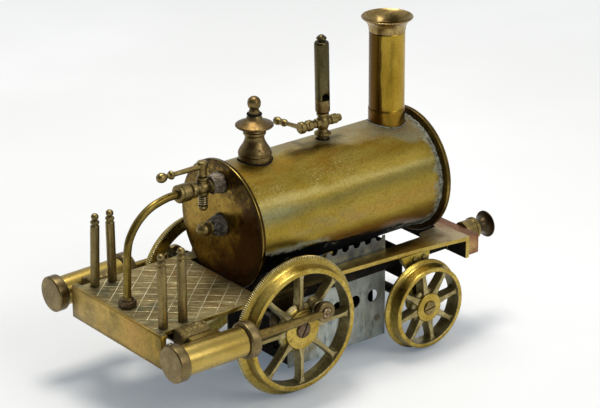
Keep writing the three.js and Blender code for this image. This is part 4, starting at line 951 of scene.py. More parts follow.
plug = lathe([(0, -14.4), (2.5, -14.4, 0.2), (2.95, -13.9, 0.3), (2.95, -12.0, 0.3), (2.2, -11.2, 0.3), (2.1, -10.6, 0.2), (2.2, -10.0, 0.3), (2.75, -9.5, 0.25), (2.75, -7.4, 0.25), (2.1, -6.8, 0.2), (2.0, -4.9, 0.1), (1.36, -4.9),
              (1.36, 4.15), (1.8, 4.15), (2.45, 4.8, 0.2), (2.45, 8.4, 0.2), (1.5, 8.8, 0.2), (1.5, 9.4, 0.1), (1.9, 9.7, 0.2), (1.8, 10.7, 0.3), (0, 11.0)], "x", (WHISTLE_X, 0, COCK_Z), 64,
             lambda th, r, t: r - 0.22 * (0.5 - 0.5 * math.cos(th * 16)) if (r > 2.3 and 4.7 < t < 8.5) else r)
arm = lathe([(0, 0.2), (1.3, 0.2), (1.1, 6, 0.5), (1.05, 11.6, 0.3), (1.85, 12.8, 0.3), (1.9, 13.8, 0.3), (1.75, 14.8, 0.3), (1.1, 15.6, 0.2), (1.1, 16.3, 0.2), (1.75, 17.2, 0.4), (2.15, 18.8, 0.6), (1.8, 20.3, 0.6), (1.0, 20.95, 0.3), (0, 21.05)],
            "y", (0, 0, 0), 36)
arm = moved(arm, Matrix.Translation((WHISTLE_X - 13.0, 0, COCK_Z)) @ Matrix.Rotation(math.radians(-5.5), 4, "X"))
piece("whistle_handle_set", [plug, arm], "fittings", "whistle_handle", ["whistle_lever"], union=True)

# ------------------------------------------------------------------ stopcock
cock = lathe([(0, -32.0), (3.3, -32.0, 0.2), (3.9, -31.4, 0.3), (3.9, -29.2, 0.3), (2.7, -28.6, 0.3), (2.7, -27.5, 0.3), (3.4, -26.2, 0.6), (3.65, -24.5, 0.8), (3.4, -22.8, 0.6), (2.7, -21.6, 0.4), (2.7, -20.6, 0.2),
              (3.8, -20.0, 0.3), (4.1, -18.2, 0.4), (3.9, -17.0, 0.3), (4.5, -16.2, 0.3), (4.6, -14.45), (0, -14.45)], "x", (0, 0, STOP_Z), 56)
barrelz = lathe([(0, 96.2), (2.6, 96.2, 0.2), (2.9, 96.6, 0.3), (2.9, 103.6, 0.3), (3.15, 104.0, 0.15), (3.15, 104.7, 0.2), (2.8, 105.0), (0, 105.0)], "z", (STOPCOCK_X, 0, 0), 48)
o = raw_object("stopcock", [cock], ["fittings"])
boolean(o, [raw_object("sc_u", [barrelz], ["fittings"])], "UNION")
boolean(o, [raw_object("sc_d", [lathe([(0, 90), (1.5, 90), (1.5, 110), (0, 110)], "z", (STOPCOCK_X, 0, 0), 40)], ["fittings"])])
finish(o, "chassis", ["stopcock_body"])
piece("stopcock_crust", [lathe([(4.15, -20.4), (4.5, -20.0), (4.9, -18.9), (4.95, -17.4), (5.1, -16.2), (5.4, -15.1), (5.3, -14.42), (4.65, -14.42), (4.6, -16.0), (4.2, -17.2)], "x", (0, 0, STOP_Z), 96,
      lambda th, r, t: r + (0.75 * noise.fractal(Vector((math.cos(th) * 4, math.sin(th) * 4, t * 0.9)), 1.0, 2.0, 4) - 0.3 if r > 4.7 else 0), True, raw=True)],
      "lime", "chassis", sharp=70)
nut = lathe([(2.15, -39.4), (3.9, -39.4, 0.2), (4.35, -38.9, 0.3), (4.35, -37.6, 0.15), (4.1, -37.3, 0.1), (4.35, -37.0, 0.15), (4.35, -33.2, 0.3), (3.8, -32.4, 0.3), (3.4, -32.2), (2.15, -32.2)], "x", (0, 0, STOP_Z), 72, None, True)
piece("pipe_union", [nut], "fittings", "chassis", ["union_nut"])
plugz = lathe([(0, 88.0), (1.2, 88.1, 0.2), (1.9, 88.8, 0.3), (2.3, 89.6, 0.3), (2.25, 90.5), (1.36, 90.5), (1.36, 105.2), (2.1, 105.2, 0.1), (2.2, 106.0, 0.1), (2.05, 106.3, 0.1), (2.3, 108.6, 0.4), (2.65, 111.0, 0.5), (2.6, 112.2, 0.3), (2.0, 112.8, 0.3), (0, 112.8)],
             "z", (STOPCOCK_X, 0, 0), 48)
arm = lathe([(0, 0.2), (1.55, 0.2), (1.3, 6, 1.0), (1.15, 14.8, 0.5), (1.25, 16.6, 0.2), (2.1, 17.2, 0.25), (2.15, 18.0, 0.25), (1.9, 18.6, 0.25), (1.1, 19.2, 0.2), (1.1, 20.4, 0.2), (1.9, 21.2, 0.5), (2.6, 23.0, 0.9), (2.0, 24.9, 0.8), (1.0, 25.6, 0.3), (0, 25.7)],
            "x", (0, 0, 0), 40)
arm = moved(arm, Matrix.Translation((STOPCOCK_X, 0, 110.2)) @ Matrix.Rotation(math.pi, 4, "Z"))
piece("stopcock_handle_set", [plugz, arm], "fittings", "stopcock_handle", ["stopcock_lever"], union=True)
piece("stopcock_coil", [helix("z", (STOPCOCK_X, 0, 0), 1.95, 91.0, 95.8, 4.6, 0.36, 24, 10)], "spring", "stopcock_handle", ["stopcock_spring"], sharp=60)
piece("gauge_plug", [lathe([(0, -28.1), (1.6, -27.75, 0.6), (2.95, -26.5, 0.9), (3.6, -24.6, 1.0), (3.2, -22.9, 0.8), (2.5, -22.1, 0.2), (3.4, -21.7, 0.2), (3.45, -20.5, 0.1), (3.2, -20.3, 0.08), (3.45, -20.1, 0.1), (3.4, -18.7, 0.2), (3.9, -18.0, 0.3), (4.4, -16.9, 0.3),
      (4.6, -14.45), (0, -14.45)], "x", (0, 0, PLUG_Z), 56)], "fittings", "chassis", ["level_plug"])
piece("gauge_plug_crust", [lathe([(3.5, -20.9), (3.95, -20.6), (4.2, -19.4), (4.5, -18.0), (5.2, -16.6), (5.6, -15.3), (5.5, -14.42), (4.65, -14.42), (4.5, -16.6), (3.95, -17.8), (3.5, -18.9)], "x", (0, 0, PLUG_Z), 96,
      lambda th, r, t: r + (0.5 * noise.fractal(Vector((math.cos(th) * 4, math.sin(th) * 4, t * 1.1 + 5)), 1.0, 2.0, 4) - 0.12 if r > 3.9 and t < -14.5 else 0), True, raw=True)],
      "blue", "chassis", sharp=70)

# ------------------------------------------------------------------ pipework
PIPE = [(-69, 0, 51.9), (-68.8, 0, 60), (-68.4, 0, 69.9), (-67.9, 0, 79.0), (-66.2, 0, 85.3), (-61.5, 0, 92.0), (-54.6, 0, 96.9), (-46.1, 0, 99.3), (-40.5, 0, 99.7), (-36.5, 0, 99.7)]
piece("steam_feed_pipe", [tube(catmull(PIPE, 9), 1.9, 28)], "pipe", "chassis", ["steam_pipe"])
piece("pipe_foot_nut", [lathe([(2.25, 51.76), (3.9, 51.76, 0.15), (4.4, 52.2, 0.2), (4.4, 54.6, 0.2), (3.9, 55.1, 0.2), (2.7, 55.1, 0.1), (2.25, 54.8)], "z", (-69, 0, 0), 96, hexed(3.78, 0.3), True)],
      "screw", "chassis", ["pipe_base_nut"], 25)
piece("pipe_foot_washer", [lathe([(2.3, 55.15), (3.0, 55.15, 0.15), (3.1, 55.5, 0.15), (2.6, 56.1, 0.3), (2.0, 56.6), (1.98, 55.4)], "z", (-69, 0, 0), 40, None, True)], "bronze", "chassis")
man = [slab((-71.6, -61.6), (-4, 4), (41.8, 49.3)), lathe([(0, 49.0), (2.0, 49.0), (2.0, 51.3), (0, 51.3)], "z", (-69, 0, 0), 32), lathe([(0, -33.2), (1.9, -33.2), (1.9, 33.2), (0, 33.2)], "y", (-64.4, 0, 45.4), 32),
       lathe([(0, 3.6), (3.0, 3.6, 0.3), (3.0, 6.6, 0.3), (0, 6.6)], "y", (-64.4, 0, 45.4), 48, hexed(2.7)), lathe([(0, -6.6), (3.0, -6.6, 0.3), (3.0, -3.6, 0.3), (0, -3.6)], "y", (-64.4, 0, 45.4), 48, hexed(2.7))]
piece("steam_tee", man, "pipe", "chassis", ["steam_manifold"], bevel=(0.35, 2, 50), union=True)

# ------------------------------------------------------------------ posts
POST = [(0, 0.12), (2.2, 0.12, 0.1), (2.2, 30.4, 0.15), (1.7, 30.9, 0.15), (1.65, 31.4, 0.15), (2.2, 31.9, 0.2), (2.15, 32.8, 0.3), (1.2, 33.4, 0.2), (1.3, 33.6, 0.2), (1.75, 34.2, 0.5), (1.9, 35.0, 0.5), (1.6, 36.0, 0.5), (0.8, 36.55, 0.3), (0, 36.7)]
for nm, rep, x, y, tilt in [("post_rr", "post_right_rear", -69.6, -29.3, 0), ("post_rf", "post_right_front", -58.4, -29.0, 0), ("post_lf", "post_left_front", -58.4, 28.1, 0), ("post_lr", "post_left_rear", -68.1, 28.4, 2.6)]:
    m = Matrix.Translation((x, y, DECK_TOP + (0.12 if tilt else 0))) @ Matrix.Rotation(math.radians(tilt), 4, "Y")
    piece(nm, [moved(lathe(POST, "z", (0, 0, 0), 40), m)], "post", "chassis", [rep])

# ------------------------------------------------------------------ port blocks, hornblocks, stretcher
def port_block(mirror):
    out = rounded([(33.6, 36.0, 0.4), (41.6, 36.0, 0.4), (41.6, 49.4, 1.0), (40.9, 51.0, 1.0), (39.4, 52.2, 1.0), (37.2, 52.8, 1.2), (34.6, 52.6, 0.8), (33.6, 51.9, 0.5)], True, 3)
    secs, m = [], 26
    for i in range(m + 1):
        x = -67.2 + 15.8 * i / m
        endk = 0.0 if 0 < i < m else 0.5
        ring = []
        for y, z in out:
            d = 0.0
            if z > 47:
                v = Vector((x * 0.45, y * 0.6, z * 0.6))
                d = min(0.25, 0.55 * noise.fractal(v, 1.0, 2.0, 4) - 0.2) * min(1.0, (z - 47) / 3)
            cy, cz = 37.6, 44.4
            f = 1 - endk / 8.0
            ring.append((x, cy + (y - cy) * f, cz + (z - cz) * f + d))
        secs.append(ring)
    p = loft(secs)
    return mirrored(p) if mirror else p


for side, mir in (("left", False), ("right", True)):
    o = raw_object("port_casting_" + side, [port_block(mir)], ["port"])
    hole = lathe([(0, 30), (1.72, 30), (1.72, 45), (0, 45)], "y", (PIVOT[0], 0, PIVOT[1]), 40)
    boolean(o, [raw_object("pc_c", [mirrored(hole) if mir else hole], ["soot"])])
    finish(o, "chassis", ["port_block_" + side], 28)
    s = -1 if mir else 1
    # small fixing screw in the recess behind the rear beam
    scr = [lathe([(0, 33.3), (1.1, 33.3), (1.1, 34.3), (1.9, 34.3, 0.1), (1.9, 35.2, 0.3), (1.2, 35.7, 0.2), (0, 35.8)], "y", (-70.0, 0, 44.2), 36)]
    o = raw_object("recess_screw_" + side, [mirrored(q) for q in scr] if mir else scr, ["bright"])
    slot_ = slab((-70.25, -69.75), sorted((s * 35.2, s * 36.5)), (41.8, 46.6))
    boolean(o, [raw_object("rs_c", [slot_], ["screw"])])
    finish(o, "chassis", ())


def arc(cx, cz, r, a0, a1, n):
    return [(cx + r * math.cos(math.radians(a0 + (a1 - a0) * i / n)), cz + r * math.sin(math.radians(a0 + (a1 - a0) * i / n))) for i in range(n + 1)]


dhorn = rounded([(-11, 49.3), (-8.6, 46.4, 1.2), (-6.6, 43.0, 1.2), (-6.0, 39.6, 0.4)], False, 3) + arc(DRIVE[0], DRIVE[1], 7.2, 142, 398, 36) + rounded([(6.0, 39.6), (6.6, 43.0, 1.2), (8.6, 46.4, 1.2), (11, 49.3)], False, 3)
fhorn = [(67.6, 49.4), (69.4, 46.0), (71.2, 43.6), (72.6, 41.6), (73.8, 38.8), (74.6, 36.0), (75.0, 30.0)] + arc(FRONT[0], FRONT[1], 5.6, 135, 405, 34) + [(82.6, 30.0), (83.0, 36.0), (83.6, 39.8), (84.4, 42.6), (85.6, 46.0), (86, 49.4)]
for side, mir in (("left", False), ("right", True)):
    p = prism(dhorn, 27.0, 33.3, "xz", [ring2(*DRIVE, 2.46, 36)])
    boss = lathe([(2.46, 33.2), (4.6, 33.2), (4.6, 33.28, 0.0), (4.2, 33.3), (2.46, 33.3)], "y", (DRIVE[0], 0, DRIVE[1]), 36, None, True)
    # the driving hornblocks take the darkened copy: painted shade behind the wheel
    piece("horn_drive_" + side, [mirrored(p) if mir else p], ["horn_dark"], "chassis", ["drive_hornblock_" + side], bevel=(0.3, 2, 50))
    p = prism(fhorn, 32.6, 35.9, "xz", [ring2(*FRONT, 2.46, 36)])
    piece("horn_front_" + side, [mirrored(p) if mir else p], ["horn"], "chassis", ["front_hornblock_" + side], bevel=(0.35, 2, 50))
    riv = [lathe([(0, 35.95), (1.35, 35.95), (1.3, 36.4, 0.2), (0.9, 36.8, 0.3), (0, 36.95)], "y", (x, 0, z), 28) for x, z in ((76.0, 46.8), (82.0, 46.6))]
    piece("horn_rivets_" + side, [mirrored(q) for q in riv] if mir else riv, "fittings", "chassis")

stretch = prism([(-24.6, 32.6), (24.6, 32.6), (24.6, 48.6), (-24.6, 48.6)], 76.6, 78.2, "yz", [ring2(-14, 40.5, 2.2, 24), ring2(14, 40.5, 2.2, 24)])
piece("cross_stretcher", [stretch], "soot", "chassis", ["front_stretcher"], bevel=(0.2, 2, 50))

# ------------------------------------------------------------------ firebox
def fire_sheet(mirror):
    """Thin sheet with a scalloped top and round holes, slightly buckled."""
    pitch, x0, x1, top, low = 7.06, 6.0, 67.0, 58.6, 56.2
    out = [(x0, 5.2), (x1, 5.2), (x1, top - 0.1)]
    px = x1 - 0.4
    while px - pitch > x0 - 0.5:
        out += [(px - 1.3, top)] + [(px - 3.55 + 2.25 * math.cos(t), top - 2.4 * math.sin(t) ** 0.8) for t in [math.pi * i / 10 for i in range(1, 10)]] + [(px - 5.8, top)]
        px -= pitch
    out.append((x0, top))
    dense = []
    for i, a in enumerate(out):
        b = out[(i + 1) % len(out)]
        d = math.dist(a, b)
        k = max(1, int(d / 2.4))
        dense += [(a[0] + (b[0] - a[0]) * j / k, a[1] + (b[1] - a[1]) * j / k) for j in range(k)]
    holes = [ring2(x, 28.1, 3.25, 32) for x in (59, 47.8, 36.6)]
    pts = [Vector(p) for p in dense]
    edges = [(i, (i + 1) % len(dense)) for i in range(len(dense))]
    for h in holes:
        b = len(pts)
        pts += [Vector(p) for p in h]
        edges += [(b + i, b + (i + 1) % len(h)) for i in range(len(h))]

    def inside(x, z):
        if any(math.hypot(x - hx, z - 28.1) < 3.25 for hx in (59, 47.8, 36.6)):
            return False
        hit = False
        for i, (ax, az) in enumerate(out):
            bx, bz = out[(i + 1) % len(out)]
            if (az > z) != (bz > z) and x < (bx - ax) * (z - az) / (bz - az) + ax:
                hit = not hit
        return hit
    zi = 7.0
    while zi < 55.0:
        xi = 8.0
        while xi < 66.0:
            if inside(xi, zi) and all(math.hypot(xi - hx, zi - 28.1) > 4.1 for hx in (59, 47.8, 36.6)):
                pts.append(Vector((xi, zi)))
            xi += 2.4
        zi += 2.4
    v2, _, tris, *_ = geometry.delaunay_2d_cdt(pts, edges, [], 0, 1e-5)
    tris = [t for t in tris if inside(sum(v2[i].x for i in t) / 3, sum(v2[i].y for i in t) / 3)]
    used = sorted({i for t in tris for i in t})
    remap = {o_: k for k, o_ in enumerate(used)}
    m = len(used)

    def wave(p):
        n = noise.noise(Vector((p.x / 19, p.y / 17, 4.0)))
        tick = 0.0
        for ax, az, bx, bz in ((56.6, 13.2, 57.8, 10.9), (57.8, 10.9, 59.6, 14.2)):
            d = Vector((bx - ax, bz - az))
            t = max(0, min(1, (p - Vector((ax, az))).dot(d) / d.length_squared))
            dist = (p - (Vector((ax, az)) + d * t)).length
            tick = max(tick, 1 - dist / 0.8)
        return 0.16 * n + 0.1 * max(tick, 0)
    vo = [(v2[i].x, 24.44 + wave(v2[i]), v2[i].y) for i in used]
    vi = [(v2[i].x, 23.86 + max(wave(v2[i]), 0) * 0.5, v2[i].y) for i in used]
    faces = [tuple(remap[i] for i in t) for t in tris] + [tuple(remap[i] + m for i in t)[::-1] for t in tris]
    count = {}
    for t in tris:
        for a, b in ((t[0], t[1]), (t[1], t[2]), (t[2], t[0])):
            count.setdefault(frozenset((a, b)), []).append((a, b))
    for e in count.values():
        if len(e) == 1:
            a, b = remap[e[0][0]], remap[e[0][1]]
            faces.append((a, b, b + m, a + m))
    p = (vo + vi, faces, 0)
    return mirrored(p) if mirror else p


piece("fire_sheet_left", [fire_sheet(False)], "zinc", "chassis", ["firebox_side_left"], 30)
piece("fire_sheet_right", [fire_sheet(True)], "zinc", "chassis", ["firebox_side_right"], 30)
rear = prism([(-23.4, 6.4), (23.4, 6.4), (23.4, 48.6), (-23.4, 48.6)], 6.3, 7.1, "yz", [ring2(y, 14, 2.4, 24) for y in (-14, 0, 14)])
piece("fire_sheet_rear", [rear], "soot", "chassis", ["firebox_rear"], bevel=(0.15, 1, 50))
# painted shade: a soot-black plate inside the firebox so the view through the side holes is dark
piece("fire_baffle", [prism([(-15.5, 6.6), (15.5, 6.6), (15.5, 46.0), (-15.5, 46.0)], 66.2, 66.9, "yz", [ring2(0, 38, 3.0, 24)])], "soot", "chassis", bevel=(0.15, 1, 50))
lamp = [slab((9, 66), (-23.3, 23.3), (5.3, 6.2)), slab((14, 60), (-15, 15), (6.0, 16))]
lamp += [lathe([(0, 15.5), (3.2, 15.5), (3.2, 26.6, 0.3), (2.8, 27.0, 0.2), (2.7, 24.0), (0, 24.0)], "z", (x, 0, 0), 36) for x in (22, 37, 52)]
lamp.append(lathe([(0, 15.7), (4.2, 15.7), (4.2, 17.6, 0.3), (3.0, 18.2, 0.3), (0, 18.2)], "z", (29.5, 9.0, 0), 40, notched(24, 0.25, 3.6)))
piece("spirit_lamp", lamp, "steel", "chassis", ["spirit_burner"], bevel=(0.3, 2, 50), union=True)
piece("lamp_wicks", [lathe([(0, 24.1), (2.5, 24.1), (2.4, 26.4, 0.6), (1.2, 27.0, 0.5), (0, 26.8)], "z", (x, 0, 0), 24, bumpy(0.15, 0.8, x)) for x in (22, 37, 52)], "lime", "chassis", sharp=60)

# ------------------------------------------------------------------ buffers
for side, s in (("left", 1), ("right", -1)):
    at = (0, 26.5 * s, 47.6)
    piece("buffer_socket_" + side, [lathe([(0, 115.55), (5.0, 115.55, 0.1), (5.0, 121.7, 0.15), (5.25, 122.1, 0.15), (5.6, 122.2, 0.2), (5.6, 123.9, 0.25), (3.35, 123.9, 0.1), (3.35, 117.6), (0, 117.6)],
          "x", at, 64)], "fittings", "chassis", ["buffer_stock_" + side])
    piece("buffer_plunger_" + side, [lathe([(0, 121.0), (3.15, 121.0), (3.15, 126.6, 0.6), (3.45, 128.4, 1.0), (4.3, 130.0, 1.0), (5.6, 130.95, 0.7), (6.65, 131.35, 0.25), (6.9, 131.8, 0.2), (6.5, 132.3, 0.35), (3.0, 132.75, 0.8), (0, 132.9)],
          "x", at, 64)], "buffer", "buffer_" + side, ["buffer_head_" + side])


# ------------------------------------------------------------------ wheelsets
def spoke(stations, y_back, y_front, front_k, angle, cx, cz):
    """A tapering spoke. stations lists (radius, half width at the back)."""
    a = math.radians(angle)
    secs = []
    fine = []
    for i in range(len(stations) - 1):
        for k in range(4):
            t = k / 4
            fine.append(tuple(stations[i][j] * (1 - t) + stations[i + 1][j] * t for j in (0, 1)))
    fine.append(stations[-1])
    for r, w in fine:
        f = w * front_k
        rad = min(0.55, f * 0.6)
        ring = [(-w, y_back), (w, y_back), (w * 0.5 + f * 0.5, (y_back + y_front) / 2), (f, y_front - rad), (f - rad * 0.3, y_front - rad * 0.3), (f - rad, y_front),
                (-f + rad, y_front), (-f + rad * 0.3, y_front - rad * 0.3), (-f, y_front - rad), (-w * 0.5 - f * 0.5, (y_back + y_front) / 2)]
        secs.append([(cx + r * math.cos(a) - q * math.sin(a), y, cz + r * math.sin(a) + q * math.cos(a)) for q, y in ring])
    return loft(secs)


def build_wheel(name, rep, body, mir, c, rim_prof, milled, stations, span, hub, boss, angles, extra=(), rim_seg=192):
    cx, cz = c
    rfun = (lambda th, r, t: r - 0.34 * (0.5 - 0.5 * math.cos(th * milled)) if (r > c[1] - 0.6 and t < span[0] + 0.2) else r) if milled else None
    rim = lathe(rim_prof, "y", (cx, 0, cz), milled * 4 if milled else rim_seg, rfun, True, 3)
    parts = [rim] + [remat(spoke(stations, span[1], span[2], 0.72, a, cx, cz), 1) for a in angles] + [remat(lathe(hub, "y", (cx, 0, cz), 72, None, True, 3), 0)] + [remat(b, 1) for b in extra]
    if mir:
        parts = [mirrored(p) for p in parts]
    o = raw_object(name, parts[:1], ["wheel", "spoke", "mill_lo", "mill_hi"])
    if extra or True:
        inner = raw_object(name + "_in", parts[-1 - len(extra):][:1], ["wheel", "spoke", "mill_lo", "mill_hi"])
        adds = [raw_object(name + "_s%d" % i, [p], ["wheel", "spoke", "mill_lo", "mill_hi"]) for i, p in enumerate(parts[1:1 + len(angles)] + (parts[-len(extra):] if extra else []))]
        boolean(inner, adds, "UNION")
        bore = lathe([(0, 30), (2.46, 30), (2.46, 50), (0, 50)], "y", (cx, 0, cz), 48)
        boolean(inner, [raw_object(name + "_b", [mirrored(bore) if mir else bore], ["steel"])])
        boolean(o, [inner], "UNION")
    inner_r, hub_r = min(p[0] for p in rim_prof), max(p[0] for p in hub) - 1.9
    for f in o.data.polygons:
        dx, dz = f.center.x / MM - cx, f.center.z / MM - cz
        rr = math.hypot(dx, dz)
        if inner_r - 1.2 < rr < inner_r + 0.45 and (f.normal.x * dx + f.normal.z * dz) / max(rr, 1e-6) < -0.5:
            f.material_index = 1
        elif 3 < rr < inner_r + 0.5 and abs(f.center.y) / MM < span[0] - 0.1:
            f.material_index = 1
        elif hub_r < rr < inner_r and abs(f.center.y) / MM < span[2] - 0.6:
            f.material_index = 1
        elif milled and rr > c[1] - 1.3 and abs(f.center.y) / MM < span[0] + 0.35:
            # painted highlight on the crests and painted shade in the valleys of the milled rim
            k = math.cos(math.atan2(dx, dz) * milled)
            f.material_index = 3 if k > 0 else 2
    return finish(o, body, [rep], 30)


for side, mir in (("left", False), ("right", True)):
    s = -1 if mir else 1
    crank = CRANK_DEG + (0 if mir else 90)
    # driving wheel
    rim = [(28.0, 36.6, 0.25), (34.3, 36.6, 0.2), (34.79, 36.95, 0.12), (34.79, 38.0, 0.15), (33.2, 38.45, 0.5), (31.5, 38.9, 0.5), (31.15, 39.6, 0.3), (30.7, 44.2, 0.25), (30.35, 44.58, 0.25), (28.35, 44.58, 0.2), (28.0, 44.25, 0.2), (27.95, 40.6)]
    st = [(6.5, 3.3), (9.5, 2.7), (12.5, 1.75), (15.0, 1.45), (22.0, 1.35), (25.2, 1.45), (26.8, 1.9), (27.6, 2.6), (28.35, 3.6)]
    hub = [(2.2, 37.2), (4.6, 34.1, 0.2), (4.6, 37.0, 0.4), (9.4, 37.9, 0.5), (12.4, 39.4, 0.6), (12.3, 40.6, 0.5), (10.4, 41.6, 0.6), (9.85, 42.2, 0.3), (9.8, 43.6, 0.25), (9.5, 43.9, 0.2), (2.2, 43.9)]
    cx, cz = DRIVE[0] + THROW * math.cos(math.radians(crank)), DRIVE[1] + THROW * math.sin(math.radians(crank))
    boss = lathe([(0, 38.8), (4.9, 38.8), (4.8, 41.0, 0.5), (4.1, 42.4, 0.4), (4.0, 43.9, 0.2), (3.7, 44.1), (0, 44.1)], "y", (cx, 0, cz), 48)
    build_wheel("drive_wheel_casting_" + side, "drive_wheel_" + side, "drive_wheelset", mir, DRIVE, rim, 216, st, (38.0, 38.6, 43.1), hub, None, [45 * k for k in range(8)], [boss])
    # its centre screw
    scr = lathe([(0, 43.98), (3.9, 43.98), (3.9, 44.5, 0.15), (3.4, 45.0, 0.3), (0, 45.15)], "y", (DRIVE[0], 0, DRIVE[1]), 48)
    o = raw_object("axle_screw_drive_" + side, [mirrored(scr) if mir else scr], ["screw"])
    cut = prism([(-5, -0.45), (5, -0.45), (5, 0.45), (-5, 0.45)], 44.35, 46, "xz")
    rot = Matrix.Translation((DRIVE[0], 0, DRIVE[1])) @ Matrix.Rotation(math.radians(-62 if mir else -20), 4, "Y")
    cut = moved(cut, rot)
    boolean(o, [raw_object("as_c", [mirrored(cut) if mir else cut], ["soot"])])
    finish(o, "drive_wheelset", ())
    pin = lathe([(0, 44.2), (3.0, 44.2, 0.1), (3.0, 45.0, 0.2), (2.7, 45.3, 0.1), (2.7, 46.1, 0.2), (2.4, 46.4), (0, 46.4)], "y", (cx, 0, cz), 40)
    piece("crank_stud_" + side, [mirrored(pin) if mir else pin], "screw", "drive_wheelset", ["crank_pin_" + side])
    # leading wheel
    rim = [(18.6, 37.0, 0.25), (22.6, 37.0, 0.2), (23.01, 37.3, 0.15), (23.01, 38.15, 0.2), (22.2, 38.6, 0.3), (21.5, 39.2, 0.3), (21.2, 39.9, 0.2), (20.95, 44.8, 0.25), (20.6, 45.18, 0.25), (18.95, 45.18, 0.2), (18.6, 44.85, 0.2), (18.5, 41.0)]
    st = [(4.6, 3.0), (7.2, 2.7), (9.0, 2.2), (13.0, 1.75), (16.2, 1.5), (17.6, 1.75), (18.3, 2.3), (18.95, 3.0)]
    hub = [(2.2, 37.0), (4.4, 36.5, 0.2), (4.4, 38.0, 0.4), (7.6, 38.8, 0.5), (9.4, 40.2, 0.5), (8.9, 41.6, 0.5), (7.5, 42.4, 0.4), (7.4, 44.2, 0.25), (7.1, 44.5, 0.2), (2.2, 44.5)]
    build_wheel("front_wheel_casting_" + side, "front_wheel_" + side, "front_wheelset", mir, FRONT, rim, 0, st, (38.0, 38.9, 43.7), hub, None, [45 * k + 10 for k in range(8)], (), 160)
    scr = lathe([(0, 44.58), (3.5, 44.58), (3.5, 45.0, 0.15), (3.15, 45.4, 0.25), (0, 45.5)], "y", (FRONT[0], 0, FRONT[1]), 40)
    o = raw_object("axle_screw_front_" + side, [mirrored(scr) if mir else scr], ["fittings"])
    cut = moved(prism([(-4, -0.4), (4, -0.4), (4, 0.4), (-4, 0.4)], 44.9, 46, "xz"), Matrix.Translation((FRONT[0], 0, FRONT[1])) @ Matrix.Rotation(math.radians(-8 if mir else 35), 4, "Y"))
    boolean(o, [raw_object("as_c", [mirrored(cut) if mir else cut], ["soot"])])
    finish(o, "front_wheelset", ())

piece("drive_shaft", [lathe([(0, -42.6), (2.1, -42.6, 0.2), (2.4, -42.2, 0.2), (2.4, 42.2, 0.2), (2.1, 42.6, 0.1), (0, 42.6)], "y", (DRIVE[0], 0, DRIVE[1]), 40)], "steel", "drive_wheelset", ["drive_axle"])
piece("front_shaft", [lathe([(0, -43.2), (2.1, -43.2, 0.2), (2.4, -42.8, 0.2), (2.4, 42.8, 0.2), (2.1, 43.2, 0.1), (0, 43.2)], "y", (FRONT[0], 0, FRONT[1]), 40)], "steel", "front_wheelset", ["front_axle"])

